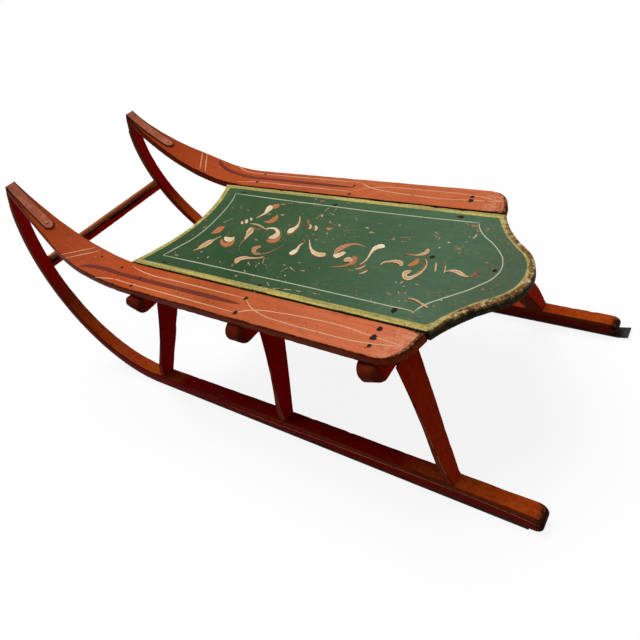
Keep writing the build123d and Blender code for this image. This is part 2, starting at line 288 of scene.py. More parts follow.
class Coat:
    """A material in the making, with what its recipe reads: the place on the sled in metres, the way the
    surface faces, the distance to the nearest arris and the place along the grain."""

    def __init__(self, name, roughness, shine):
        self.finish = bpy.data.materials.new(name)
        self.finish.use_nodes = True
        self.tree = self.finish.node_tree
        self.shader = self.tree.nodes["Principled BSDF"]
        self.shader.inputs["Roughness"].default_value = roughness
        self.shader.inputs["Specular IOR Level"].default_value = shine
        coordinates = self.tree.nodes.new("ShaderNodeTexCoord")
        self.place = Paint(self.tree, coordinates.outputs["Object"])
        self.facing = Paint(self.tree, coordinates.outputs["Normal"])
        self.near_edge, self.grain = self.kept("near_edge", "Fac"), self.kept("grain", "Vector")

    def kept(self, name, output):
        """What the mesh keeps at its points under that name."""
        node = self.tree.nodes.new("ShaderNodeAttribute")
        node.attribute_name = name
        return Paint(self.tree, node.outputs[output])

    def lay_on(self, colour, roughness=None, relief=None, depth=0.3, far=0.001):
        """Links the paints to the shader, relief as a bump of that strength and distance."""
        self.tree.links.new(colour.out, self.shader.inputs["Base Color"])
        if roughness:
            self.tree.links.new(roughness.out, self.shader.inputs["Roughness"])
        if relief:
            bump = relief.to("Bump", {}, {"Strength": depth, "Distance": far, "Height": relief})
            self.tree.links.new(bump.out, self.shader.inputs["Normal"])
        return self.finish


def red_wood(name, deep, bright, rubbed, edge_wear, upper=(0.37, 0.062, 0.006), everywhere=0.0,
             last_layers=None):
    """Old oil paint on ash: deep red, with painted light in orange brown where bows and heels face up,
    painted shade in dark red on the runners' level tops between, under the deck, and painted light in
    brighter red on the high and far bows; with brush lines, dirt in the pores, brown legs' sides and
    bolsters' ends, arrises rubbed to brown and then to bare wood, and black heels. Where everywhere is 1, the
    painted light falls on all that faces up."""
    coat = Coat(name, roughness=0.5, shine=0.008)
    place, near_edge = coat.place, coat.near_edge
    x, y, z = (place.part(axis) for axis in "XYZ")
    faces_x, faces_y, faces_z = (coat.facing.part(axis) for axis in "XYZ")
    sideways = faces_y.size()
    drift, fine, patch = place.mottle(9, 4), place.mottle(160, 4, 0.6), place.mottle(26, 5, 0.65)
    lines = coat.grain.stretch(6, 160, 160).mottle(1.6, 5, 0.65)
    # ends and up place the painted light where bows and heels face up; level places the painted shade on the
    # runners' tops between, under the deck
    ends = x.rise(0.165, 0.200) | x.rise(-0.250, -0.320) | (patch.rise(0.50, 0.66) * 0.25 + everywhere)
    up = faces_z.rise(0.10, 0.55) * ends
    level = faces_z.rise(0.70, 0.95) * (1.0 - ends) * z.rise(0.10, 0.06)
    rear_side = x.rise(-0.16, -0.42) * sideways.rise(0.6, 0.9)
    leg_side = sideways.rise(0.55, 0.85) * z.rise(0.018, 0.024) * z.rise(0.192, 0.186) * x.rise(0.215, 0.195)
    cut_end = y.size().rise(0.1690, 0.1725) * z.rise(0.186, 0.190) * x.rise(0.22, 0.20)
    # the high and the far parts of the bows, where painted light brightens the red
    high_bow = z.rise(0.13, 0.22) * x.rise(0.30, 0.36)
    far_bow_lit = y.rise(0.02, -0.02) * x.rise(0.18, 0.24) * (1.0 - high_bow) * faces_z.rise(0.10, 0.40)
    heel = (x + (place.mottle(120, 5, 0.7) - 0.5) * 0.030).rise(-0.452, -0.462)
    ragged = near_edge - (place.mottle(70, 5, 0.7) - 0.5) * 0.008 - (patch - 0.5) * 0.010
    worn = ragged.rise(0.0016 * edge_wear, 0.0002 * edge_wear)
    bare = (ragged + 0.0014).rise(0.0006 * edge_wear, -0.0006 * edge_wear)
    deeper = [tuple(share * part for part in deep) for share in (0.6, 0.45, 0.40)]
    colour = drift.rise(0.36, 0.66).between(deep, bright).covers(
        (patch.rise(0.56, 0.70) * 0.35, deeper[0]),
        # painted shade: dark red on the level tops between the ends
        (level * 0.62, (0.13, 0.0008, 0.0006)),
        # painted light: the upper colour where bows and heels face up
        (up * (0.62 + drift.rise(0.30, 0.60) * 0.35), upper),
        (lines.rise(0.62, 0.42) * 0.15, deeper[1]),
        (place.mottle(130, 6, 0.75).rise(0.47, 0.60) * 0.32, deeper[2]),
        (rear_side * 0.55, (0.180, 0.024, 0.009)),
        (fine.rise(0.66, 0.72) * 0.75, (0.030, 0.004, 0.002)),
        (worn * 0.60, rubbed),
        (near_edge.rise(0.0014, 0.0005) * (0.45 + fine * 0.6), (0.028, 0.005, 0.003)),
        (leg_side * 0.65, (0.250, 0.052, 0.016)),
        (cut_end * 0.80, (0.115, 0.021, 0.008)),
        # painted light: bright red where the high bows face back along the sled
        (high_bow * faces_x.rise(-0.55, -0.80) * 0.75, (0.66, 0.010, 0.003)),
        (high_bow * faces_y.rise(0.60, 0.85) * 0.65, (0.235, 0.040, 0.010)),
        # painted light: the far bow brightened where its own shadow falls
        (far_bow_lit * 0.7, (0.80, 0.120, 0.014)),
        *(last_layers(z, coat.grain, fine) if last_layers else ()),
        (bare * 0.8, (0.050, 0.014, 0.005)),
        (bare * fine.rise(0.5, 0.6), (0.27, 0.12, 0.045)),
        (heel * 0.95, (0.014, 0.006, 0.004)),
        (heel * fine.rise(0.56, 0.64) * 0.8, (0.22, 0.085, 0.030)))
    roughness = 0.40 + drift * 0.12 + worn * 0.22
    relief = lines * 0.5 + fine * 0.35 - worn * 0.5 - bare * 0.6 - heel * 0.4
    return coat.lay_on(colour, roughness, relief, depth=0.35, far=0.0006)


# The runners and the knees have one paint; the knees' copy is lighter, as painted light.
frame_red = red_wood("frame_red", deep=(0.27, 0.0016, 0.0012), bright=(0.34, 0.0060, 0.0018),
                     rubbed=(0.12, 0.008, 0.003), edge_wear=1.0)
knee_red_lit = red_wood("knee_red_lit", deep=(0.47, 0.0015, 0.0015), bright=(0.55, 0.0050, 0.0022),
                    rubbed=(0.18, 0.012, 0.004), edge_wear=1.0, upper=(0.50, 0.064, 0.007))

inside_end = meeting(bow_inside_centre, bow_inside_radius, rail_bend_centre, rail_under_radius)
outside_end = meeting(bow_centre, bow_radius, rail_bend_centre, rail_under_radius)
heel_steps, foot_steps, bow_steps = 9, 92, 70
foot_x = np.linspace(heel_x + heel_round, bow_centre[0], foot_steps)[1:-1]
upper_line = np.concatenate([
    arc((heel_x + heel_round, runner_top_z - heel_round), heel_round, math.pi, math.pi / 2, heel_steps),
    np.stack([foot_x, np.interp(foot_x, (waist_start_x, bow_centre[0]),
                                (runner_top_z, bow_inside_centre[1] - bow_inside_radius))], 1),
    arc(bow_inside_centre, bow_inside_radius, -math.pi / 2, bearing(bow_inside_centre, inside_end),
        bow_steps)])
lower_line = np.concatenate([
    arc((heel_x + heel_round, ground_z + heel_round), heel_round, math.pi, 1.5 * math.pi, heel_steps),
    np.stack([foot_x, np.full(len(foot_x), ground_z)], 1),
    arc(bow_centre, bow_radius, -math.pi / 2, bearing(bow_centre, outside_end), bow_steps)])
across_runner = edge_steps(runner_width, 4.0) / runner_width


def lean_share(z):
    """How far a height is on the way from the runner's top to the tip."""
    return (z - runner_top_z) / (tip_z - runner_top_z)


def runner_sheet(line, side):
    """Each point of the side line spread across the runner: the outer plane leans in with height."""
    share = lean_share(line[:, 1])[:, None]
    outer = runner_outer_y + (tip_outer_y - runner_outer_y) * share
    width = runner_width + (tip_width - runner_width) * share
    y = side * (outer - width * across_runner[None])
    x, z = np.broadcast_to(line[:, :1], y.shape), np.broadcast_to(line[:, 1:], y.shape)
    return np.stack([x, y, z], 2)


# left and right as the rider sits; the left side is the near one in the photograph
both_sides = [{"name": "left", "side": 1, "seed": 11}, {"name": "right", "side": -1, "seed": 23}]
for hand in both_sides:
    worn_slab("runner_" + hand["name"] + "_wood", runner_sheet(upper_line, hand["side"]),
              runner_sheet(lower_line, hand["side"]), arris=1.3, wear=0.45, seed=hand["seed"],
              finish=frame_red, node="runner_" + hand["name"])

# Iron shoes
# Strips of flat iron under the runners and up the front of the bows, black with age and rust.
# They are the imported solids; only their surface is given here.
coat = Coat("shoe_black", roughness=0.5, shine=0.2)
coat.shader.inputs["Metallic"].default_value = 0.20
rust, pits = coat.place.mottle(45, 6, 0.7), coat.place.mottle(420, 3, 0.6)
colour = rust.ramp((0.40, (0.007, 0.006, 0.006)), (0.55, (0.018, 0.013, 0.011)),
                   (0.72, (0.075, 0.030, 0.015)))
shoe_black = coat.lay_on(colour, 0.42 + rust * 0.35, pits * 0.6 + rust * 0.4, depth=0.5, far=0.0005)
for hand in both_sides:
    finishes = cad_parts["shoe_" + hand["name"]].data.materials
    finishes.clear()
    finishes.append(shoe_black)

# Knees
# Three across the sled: a bolster with full round ends under the boards, and a leg to each runner that is
# wide at the top and narrow at the foot. The front and rear ones are raked. Ash, painted with the runners.
under_boards_z, knee_thick, bolster_deep, bolster_reach = 224.0, 28.0, 32.0, 184.0
leg_top_inner, leg_top_outer, leg_foot_outer = 100.0, 151.0, 180.0
leg_foot_inner = runner_outer_y - runner_width
leg_hollow, ankle_share = 1.0, 0.15
leg_edge_top, leg_edge_foot, leg_edge_ease = 0.8, 13.2, 1.0
leg_slope = (knee_thick - leg_edge_ease - leg_edge_top) / (leg_top_outer - leg_top_inner)
full_rake = math.radians(20.0)


def knee_point(station_x, rake, front, y, depth):
    """Turns a place in the knee's own plane, front along the sled and depth down, by its rake about the
    top edge."""
    x = station_x + front * math.cos(rake) - depth * math.sin(rake)
    z = under_boards_z - front * math.sin(rake) - depth * math.cos(rake)
    return np.stack(np.broadcast_arrays(x, y, z), -1)


def bolster_sheet(station_x, rake, front):
    """A straight bar that ends in half circles: its upper and lower lines close by the circle's height."""
    radius = bolster_deep / 2
    ends = edge_steps(radius, 2.5)
    reach = bolster_reach - radius
    y = np.concatenate([-bolster_reach + ends[:-1], np.linspace(-reach, reach, 60),
                        bolster_reach - ends[-2::-1]])
    half = np.sqrt(np.maximum(radius**2 - np.maximum(np.abs(y) - reach, 0)**2, 0.4))
    level = -front * math.tan(rake)
    top = np.where(np.abs(y) < reach - 6, level, np.maximum(radius - half, level))
    bottom = radius + half
    share = edge_steps(bolster_deep, 4.0) / bolster_deep
    depth = top[:, None] + (bottom - top)[:, None] * share[None]
    return knee_point(station_x, rake, front, y[:, None], depth)


def leg_outer(depth, whole):
    """The leg's outer edge over depth: an arc that comes straight at the ankle."""
    ankle = whole - (whole - bolster_deep) * ankle_share
    share = np.clip((depth - bolster_deep) / (ankle - bolster_deep), 0, 1)
    return leg_top_outer + (leg_foot_outer - leg_top_outer) * share - 4 * leg_hollow * share * (1 - share)


def leg_sheet(station_x, rake, front_side, side):
    """From the bolster to the runner's top, with a straight inner edge. The front, where front_side is 1,
    slopes from the inner edge back to a thin outer edge that widens with the square of the way down. The
    last row is cut at the runner's top."""
    foot_z = np.interp(station_x - math.sin(rake) * 200, (waist_start_x, bow_centre[0]),
                       (runner_top_z, bow_inside_centre[1] - bow_inside_radius))
    across = edge_steps(50.0, 5.0) / 50.0
    foot_front = front_side * (leg_edge_foot + leg_slope * (leg_foot_outer - leg_foot_inner) * across)
    deep = (under_boards_z - foot_z - (foot_front - knee_thick / 2) * math.sin(rake)) / math.cos(rake)
    whole = (under_boards_z - runner_top_z) / math.cos(rake)
    depth = bolster_deep + (deep[None] - bolster_deep) * (edge_steps(170.0, 6.0) / 170.0)[:, None]
    inner = np.interp(depth, (bolster_deep, whole), (leg_top_inner, leg_foot_inner))
    outer = leg_outer(depth, whole)
    down = np.clip((depth - bolster_deep) / (whole - bolster_deep), 0, 1)
    inward = (outer - inner) * across[None]
    front = front_side * (leg_edge_top + (leg_edge_foot - leg_edge_top) * down**2 + leg_slope * inward)
    return knee_point(station_x, rake, front - knee_thick / 2, side * (outer - inward), depth)


# place along the sled and rake as a share of the full rake
knees = [{"name": "front", "x": 158.0, "rake": -1.05}, {"name": "middle", "x": -53.0, "rake": 0},
         {"name": "rear", "x": -264.0, "rake": 1}]
for number, knee in enumerate(knees):
    rake = full_rake * knee["rake"]
    worn_slab("bolster_" + knee["name"] + "_wood", bolster_sheet(knee["x"], rake, knee_thick / 2),
              bolster_sheet(knee["x"], rake, -knee_thick / 2), arris=3.2, wear=0.25, seed=40 + number,
              finish=knee_red_lit, node="bolster_" + knee["name"])
    for hand in both_sides:
        leg = "leg_" + knee["name"] + "_" + hand["name"]
        worn_slab(leg + "_wood", leg_sheet(knee["x"], rake, 1, hand["side"]),
                  leg_sheet(knee["x"], rake, 0, hand["side"]), arris=1.6, wear=0.4,
                  seed=60 + 7 * number + hand["side"], finish=knee_red_lit, node=leg)

# Front rung
# A flattened ash bar let in between the bows. Hands and the tow rope wore its upper side to dark wood.
rung_z, rung_high, rung_thick = 206.0, 22.0, 12.0
rung_turn = math.asin((rung_z - bow_centre[1]) / bow_radius)
rung_x = bow_centre[0] + (bow_radius - 6.0) * math.cos(rung_turn)


def handled(z, grain, fine):
    """The upper half of the rung worn to brown wood, with black grease along the middle in long streaks."""
    wander = z + (grain.stretch(9, 60, 60).mottle(1.4, 4, 0.65) - 0.5) * 0.014
    grease = grain.stretch(7, 90, 90).mottle(1.1, 5, 0.7).rise(0.37, 0.47)
    return ((wander.rise(0.2065, 0.2090) * 0.9, (0.40, 0.120, 0.046)),
            (wander.rise(0.2030, 0.2048) * wander.rise(0.2120, 0.2095) * grease, (0.010, 0.007, 0.004)),
            (fine.rise(0.60, 0.66) * wander.rise(0.205, 0.209) * 0.5, (0.55, 0.24, 0.12)))


rung_worn = red_wood("rung_red", deep=(0.37, 0.003, 0.002), bright=(0.44, 0.012, 0.003),
                     rubbed=(0.20, 0.030, 0.012), edge_wear=1.2, upper=(0.42, 0.125, 0.050),
                     last_layers=handled)


def rung_sheet(front):
    """Rows along Y between the runners' leaning inner planes, columns up the bar's section."""
    up = edge_steps(rung_high, 3.0) - rung_high / 2
    x = rung_x + front * math.cos(rung_turn) - up * math.sin(rung_turn)
    z = rung_z + front * math.sin(rung_turn) + up * math.cos(rung_turn)
    share = lean_share(z)
    reach = runner_outer_y - runner_width + (tip_outer_y - tip_width - runner_outer_y + runner_width) * share
    y = np.linspace(-1, 1, 70)[:, None] * reach[None]
    return np.stack(np.broadcast_arrays(x[None], y, z[None]), -1)


worn_slab("front_rung_wood", rung_sheet(rung_thick / 2), rung_sheet(-rung_thick / 2), arris=4.6, wear=0.12,
          seed=90, finish=rung_worn, node="front_rung")

# Side rails
# Flat boards beside the deck, steamed up at the front and narrowed to the tips, painted orange red.
# The rear ends are cut a little askew and rounded outside, and the paint there is rubbed through.
rail_inner_y, rail_wide, rail_top_z = 121.5, 53.0, 238.0
rail_bend_x, rail_rear_x, rail_end_askew, rail_corner_round = 175.0, -320.0, 12.0, 38.0
taper_x, taper_soft = 308.0, 34.0


def rail_red(name):
    """Orange red oil paint, paler and pinker to the rear, with faint brush lines, a scatter of small dark
    specks, darker patches along the arrises, ends worn down to brown wood, painted shade in dark red on the
    sides, which the weather has bleached behind, and painted shade in black in the seam beside the deck."""
    coat = Coat(name, roughness=0.46, shine=0.020)
    place, near_edge, grain = coat.place, coat.near_edge, coat.grain
    x, y = place.part("X"), place.part("Y")
    drift, fine = place.mottle(7, 4), place.mottle(230, 4, 0.6)
    lines = grain.stretch(5, 120, 120).mottle(1.8, 5, 0.6)
    near_side = y.rise(-0.10, 0.10) * 0.35 + 0.5
    end, rubbed = x.rise(-0.285, -0.318), x.rise(-0.255, -0.318)
    ragged = (near_edge - (place.mottle(150, 5, 0.7) - 0.5) * 0.0055
              - (place.mottle(17, 3, 0.5) - 0.5) * 0.006 - end * 0.0045)
    worn, bare = ragged.rise(0.0014, 0.0003), ragged.rise(-0.0002, -0.0012)
    # faces that do not face up take the painted shade
    side = coat.facing.part("Z").rise(0.55, 0.20)
    bleached = place.mottle(13, 4, 0.6).rise(0.40, 0.58) * x.rise(0.12, -0.02)
    arris = near_edge.rise(0.0013, 0.0004) * place.mottle(34, 5, 0.7).rise(0.36, 0.56)
    seam_shade = y.size().rise(0.1232, 0.1222) * x.rise(0.20, 0.19)
    coat.colour = drift.rise(0.35, 0.65).between((0.43, 0.082, 0.022), (0.55, 0.128, 0.036)).covers(
        (x.rise(0.03, 0.22) * 0.80, (0.47, 0.060, 0.006)),
        (x.rise(0.02, -0.30) * near_side, (0.68, 0.178, 0.078)),
        (lines.rise(0.60, 0.42) * 0.18, (0.26, 0.042, 0.012)),
        (place.mottle(46, 5, 0.7).rise(0.56, 0.72) * 0.45, (0.24, 0.044, 0.014)),
        (grain.stretch(9, 60, 60).mottle(3.0, 5, 0.7).rise(0.54, 0.68) * 0.30, (0.28, 0.050, 0.016)),
        (place.mottle(320, 2, 0.5).rise(0.66, 0.72) * 0.45, (0.72, 0.30, 0.13)),
        (fine.rise(0.655, 0.70) * 0.85, (0.045, 0.012, 0.006)),
        (rubbed * place.mottle(110, 6, 0.75).rise(0.44, 0.56) * 0.55, (0.72, 0.36, 0.21)),
        (rubbed * place.mottle(150, 6, 0.75).rise(0.52, 0.60) * 0.65, (0.20, 0.070, 0.030)),
        (worn * 0.75, (0.140, 0.026, 0.010)),
        (bare * 0.85, (0.045, 0.016, 0.008)),
        (bare * fine.rise(0.50, 0.58) * 0.8, (0.40, 0.20, 0.09)),
        # painted shade: the sides and underside in dark red
        (side * 0.96, (0.270, 0.021, 0.002)),
        (side * bleached * 0.75, (0.360, 0.078, 0.016)),
        (side * lines.rise(0.55, 0.40) * 0.4, (0.07, 0.008, 0.002)),
        (arris * 0.8, (0.030, 0.008, 0.004)),
        # painted shade: the seam beside the deck in black
        (seam_shade * 0.85, (0.012, 0.006, 0.004)))
    coat.roughness = 0.36 + drift * 0.12 + worn * 0.25
    coat.relief = lines * 0.4 + fine * 0.3 - worn * 0.5 - bare * 0.7
    return coat


coat = rail_red("rail_orange")
rail_orange = coat.lay_on(coat.colour, coat.roughness, coat.relief, depth=0.35, far=0.0006)


def rail_top(x):
    """The height of the rail's top over a place along the sled: level, then a circle of the bend's radius."""
    past = np.clip(x - rail_bend_x, 0, rail_top_radius - 1)
    return rail_bend_centre[1] - np.sqrt(rail_top_radius**2 - past**2)


def rail_width(x):
    """Full width up to the taper, then straight down to the tip's, with the corner between rounded off."""
    slope = (rail_wide - tip_width) / (tip_x - taper_x)
    past = x - taper_x
    rounded = np.clip(past + taper_soft, 0, None)**2 / (4 * taper_soft)
    return rail_wide - slope * np.where(past > taper_soft, past, rounded)


def rail_rear(y):
    """The rear end line over y: askew, then a circle of the corner's radius into the outer edge."""
    askew = rail_end_askew / rail_wide
    corner_angle = math.pi - math.atan2(rail_wide, rail_end_askew)
    run = rail_corner_round / math.tan(corner_angle / 2)
    centre_x = rail_rear_x + rail_end_askew + run
    centre_y = rail_inner_y + rail_wide - rail_corner_round
    line = rail_rear_x + askew * (y - rail_inner_y)
    on_round = centre_x - np.sqrt(np.maximum(rail_corner_round**2 - np.maximum(y - centre_y, 0)**2, 0))
    turn_y = rail_inner_y + rail_wide - run * rail_wide / math.hypot(rail_wide, rail_end_askew)
    return np.where(y > turn_y, on_round, line)


across_rail = edge_steps(rail_wide, 4.5) / rail_wide
rail_rear_line = rail_rear(rail_inner_y + rail_wide * across_rail)
rail_steps = edge_steps(tip_x - rail_rear_x, 6.0) / (tip_x - rail_rear_x)
rail_under_end = meeting(bow_centre, bow_radius, rail_bend_centre, rail_under_radius)
top_turn = math.asin((tip_x - rail_bend_x) / rail_top_radius)
under_turn = math.asin((rail_under_end[0] - rail_bend_x) / rail_under_radius)


def rail_sheets(side):
    """Rows from the rear end to the tip, columns from the inner edge out. Past the bend's start the
    underside turns about the same centre at a larger radius, and ends sooner, on the bow's circle."""
    x = rail_rear_line[None] + (tip_x - rail_rear_line)[None] * rail_steps[:, None]
    y = side * (rail_inner_y + rail_width(x) * across_rail[None])
    turn = np.arcsin(np.clip((x - rail_bend_x) / rail_top_radius, 0, 1)) * under_turn / top_turn
    under_x = np.where(x > rail_bend_x, rail_bend_x + rail_under_radius * np.sin(turn), x)
    under_z = rail_bend_centre[1] - rail_under_radius * np.cos(turn)
    return np.stack([x, y, rail_top(x)], 2), np.stack([under_x, y, under_z], 2)


for hand in both_sides:
    top_sheet, under_sheet = rail_sheets(hand["side"])
    worn_slab("rail_" + hand["name"] + "_board", top_sheet, under_sheet, arris=1.5, wear=0.25,
              seed=100 + hand["seed"], finish=rail_orange, node="rail_" + hand["name"])

# Tip straps
# Flat iron, folded over each tip and riveted on the rail, painted over with the rails and rubbed since.
strap_wide, strap_long, strap_clip, strap_down, strap_thick = 18.0, 68.0, 5.5, 42.0, 2.0
coat = Coat("strap_paint", roughness=0.45, shine=0.04)
drift, fine = coat.place.mottle(60, 5, 0.65), coat.place.mottle(330, 4, 0.65)
# a near-black line along the strap's edges and side faces
worn = (coat.near_edge - (drift - 0.5) * 0.003).rise(0.0022, 0.0011)
colour = drift.rise(0.38, 0.62).between((0.50, 0.132, 0.072), (0.68, 0.225, 0.132)).covers(
    (fine.rise(0.60, 0.68) * 0.8, (0.07, 0.030, 0.020)),
    (worn * 0.9, (0.030, 0.010, 0.007)))
strap_pink = coat.lay_on(colour, 0.38 + drift * 0.2 + worn * 0.1, fine * 0.6 + drift * 0.4,
                         depth=0.5, far=0.0004)

strap_rear_x = tip_x - strap_long
strap_turn_out = (rail_inner_y + rail_wide - tip_outer_y) / (tip_x - taper_x) / 2
strap_rear_y = tip_outer_y - tip_width / 2 + strap_turn_out * strap_long
fold = meeting(bow_centre, bow_radius + strap_thick, rail_bend_centre, rail_top_radius - strap_thick)


def strap_sheet(side, outer):
    """Rows along the rail's circle to the fold and down the bow's, columns across the strap."""
    rail_radius = rail_top_radius - strap_thick * outer
    down_radius = bow_radius + strap_thick * outer
    turn_point = fold if outer else (tip_x, tip_z)
    across = edge_steps(strap_wide, 3.0) / strap_wide
    clip = np.clip(strap_clip - np.minimum(across, 1 - across) * strap_wide, 0, None)
    start_turn = np.arcsin((strap_rear_x + clip - rail_bend_x) / rail_top_radius)
    end_turn = math.asin((turn_point[0] - rail_bend_x) / rail_radius)
    share = edge_steps(strap_long, 5.0)[:, None] / strap_long
    turn = start_turn[None] + (end_turn - start_turn[None]) * share
    x, z = rail_bend_x + rail_radius * np.sin(turn), rail_bend_centre[1] - rail_radius * np.cos(turn)
    begin = bearing(bow_centre, turn_point)
    low = math.atan2(tip_z - bow_centre[1], tip_x - bow_centre[0]) - strap_down / bow_centre[1]
    drop = arc(bow_centre, down_radius, begin, low, 14)[1:]
    x = np.concatenate([x, np.broadcast_to(drop[:, :1], (len(drop), len(across)))])
    z = np.concatenate([z, np.broadcast_to(drop[:, 1:], (len(drop), len(across)))])
    middle = np.interp(x, (strap_rear_x, tip_x), (strap_rear_y, tip_outer_y - tip_width / 2))
    below = np.clip(fold[1] - z, 0, None) * (np.arange(len(z)) >= len(share))[:, None]
    bow_turn_out = (runner_outer_y - tip_outer_y - (runner_width - tip_width) / 2) / (tip_z - runner_top_z)
    middle = middle + below * bow_turn_out
    return np.stack([x, side * (middle + strap_wide * (0.5 - across[None])), z], 2)


for hand in both_sides:
    worn_slab("strap_" + hand["name"] + "_iron", strap_sheet(hand["side"], 1), strap_sheet(hand["side"], 0),
              arris=0.5, wear=0.3, seed=130 + hand["seed"], finish=strap_pink, node="strap_" + hand["name"])

# Deck
# One wide board, hollow at the front and drawn out behind to a round lobe between two hollow shoulders.
# Green oil paint with an ochre border; at the rear the edge is worn through to brown wood.
deck_half, deck_front_x, deck_front_hollow, deck_rear_x = 119.5, 224.0, 36.0, -323.0
lobe_reach, lobe_radius, shoulder_radius = 78.0, 68.0, 180.0
front_radius = (deck_half**2 + deck_front_hollow**2) / (2 * deck_front_hollow)
lobe_x = deck_rear_x - lobe_reach + lobe_radius
shoulder_apart = math.dist((lobe_x, 0), (deck_rear_x, deck_half))
shoulder_swing = math.acos(((shoulder_radius + lobe_radius)**2 + shoulder_apart**2 - shoulder_radius**2)
                           / (2 * (shoulder_radius + lobe_radius) * shoulder_apart))
shoulder_turn = math.atan2(deck_half, deck_rear_x - lobe_x) + shoulder_swing
shoulder_x = lobe_x + (shoulder_radius + lobe_radius) * math.cos(shoulder_turn)
shoulder_y = (shoulder_radius + lobe_radius) * math.sin(shoulder_turn)
joint_y = lobe_radius * math.sin(shoulder_turn)


def deck_front(y):
    return deck_front_x - deck_front_hollow + front_radius - np.sqrt(front_radius**2 - y**2)


def deck_rear(y):
    """The lobe's circle within its joints with the shoulders, and the shoulders' circles outside them."""
    out = np.abs(y)
    lobe = lobe_x - np.sqrt(np.maximum(lobe_radius**2 - out**2, 0))
    shoulder = shoulder_x + np.sqrt(np.maximum(shoulder_radius**2 - (out - shoulder_y)**2, 0))
    return np.where(out < joint_y, lobe, shoulder)


def deck_green(name):
    """Green in slow drifts, with painted sheen that makes it greyer and hazier to the rear and painted shade
    that makes it deepest on the near side ahead, with turned scratches, flecks where the undercoat shows, an
    ochre border, a mottled band of bare and soiled wood round the rear edge, painted shade in black green on
    the side walls and underside, and painted shade in black in the gap beside the rails."""
    coat = Coat(name, roughness=0.42, shine=0.030)
    place, near_edge = coat.place, coat.near_edge
    x, y = place.part("X"), place.part("Y")
    drift, fine = place.mottle(8, 5, 0.6), place.mottle(210, 4, 0.6)
    lines = place.stretch(7, 140, 1).mottle(1.5, 5, 0.65)
    rear, behind = x.rise(0.10, -0.36), x.rise(-0.315, -0.345)
    haze_and_sheen = place.mottle(17, 6, 0.7).rise(0.56, 0.76)
    turned = place.to("VectorRotate", {"rotation_type": "Z_AXIS"}, {"Vector": place, "Angle": 0.9})
    crowd = place.mottle(15, 3, 0.6).rise(0.46, 0.60)
    scratch = turned.stretch(8, 60, 1).mottle(9.0, 3, 0.5).rise(0.66, 0.69) * crowd
    fleck = place.stretch(1.0, 1.7, 1).mottle(150, 4, 0.65).rise(0.63, 0.67)
    border = (near_edge + (place.mottle(14, 3, 0.5) - 0.5) * 0.0022).rise(0.0103, 0.0096)
    thinned = place.mottle(60, 5, 0.7).rise(0.60, 0.72)
    ochre = fine.rise(0.40, 0.60).between((0.450, 0.380, 0.088), (0.630, 0.520, 0.170)).covers(
        (x.rise(-0.300, -0.335) * place.mottle(120, 5, 0.7).rise(0.40, 0.56) * 0.7, (0.50, 0.36, 0.17)),
        (lines.rise(0.60, 0.44) * 0.5, (0.17, 0.145, 0.042)))
    grit = place.mottle(120, 6, 0.75)
    worn = (near_edge - (place.mottle(40, 6, 0.75) - 0.5) * 0.014 - behind * 0.0068).rise(0.0012, -0.0008)
    bare_wood = grit.ramp((0.36, (0.022, 0.012, 0.008)), (0.44, (0.10, 0.038, 0.016)),
                          (0.52, (0.25, 0.125, 0.050)), (0.59, (0.56, 0.44, 0.21)),
                          (0.68, (0.76, 0.68, 0.47)))
    wall_shade, gap = place.part("Z").rise(0.2352, 0.2336), y.size().rise(0.1181, 0.1190)
    coat.colour = drift.rise(0.34, 0.66).between((0.026, 0.070, 0.022), (0.043, 0.098, 0.033)).covers(
        # painted sheen: greyer and lighter to the rear, greyest over the lobe
        (rear * 0.7, (0.096, 0.170, 0.104)),
        (x.rise(-0.30, -0.36) * 0.75, (0.082, 0.112, 0.066)),
        # painted shade: deeper green on the near side ahead
        (y.rise(-0.02, 0.09) * x.rise(-0.26, 0.00) * 0.55, (0.017, 0.056, 0.018)),
        (lines.rise(0.62, 0.40) * 0.14, (0.020, 0.058, 0.026)),
        (place.mottle(130, 5, 0.7).rise(0.50, 0.66) * 0.22, (0.018, 0.050, 0.022)),
        # haze in patches, with more painted sheen to the rear
        (haze_and_sheen * (0.15 + rear * 0.35), (0.15, 0.20, 0.13)),
        (scratch * 0.6, (0.26, 0.19, 0.09)),
        (fleck * crowd * 0.8, (0.32, 0.165, 0.080)),
        (fine.rise(0.69, 0.72) * 0.7, (0.012, 0.022, 0.014)),
        (border * (0.97 - thinned * 0.5), ochre),
        (worn * 0.93, bare_wood),
        # painted shade: black green on the side walls and underside, black in the gap beside the rails
        (wall_shade * (0.97 - worn * 0.12), (0.008, 0.017, 0.009)),
        (gap * 0.85, (0.012, 0.010, 0.005)))
    coat.roughness = 0.30 + drift * 0.14 + worn * 0.30 + haze_and_sheen * 0.12
    coat.relief = lines * 0.45 + fine * 0.25 - worn * (0.5 + grit) - scratch * 0.3
    coat.drift, coat.fine = drift, fine
    return coat


coat = deck_green("deck_green")
board_green = coat.lay_on(coat.colour, coat.roughness, coat.relief, depth=0.35, far=0.0006)

deck_across = edge_steps(2 * deck_half, 5.0) - deck_half
deck_long = deck_front_x - deck_rear_x + lobe_reach
deck_steps = edge_steps(deck_long, 6.0) / deck_long


def deck_sheet(z):
    """Rows from the rear outline to the front one over y, columns across."""
    rear, front = deck_rear(deck_across), deck_front(deck_across)
    x = rear[None] + (front - rear)[None] * deck_steps[:, None]
    return np.stack(np.broadcast_arrays(x, deck_across[None], z), 2)


worn_slab("deck_board", deck_sheet(rail_top_z), deck_sheet(rail_top_z - board_thick), arris=1.5, wear=0.4,
          seed=150, finish=board_green, node="deck")

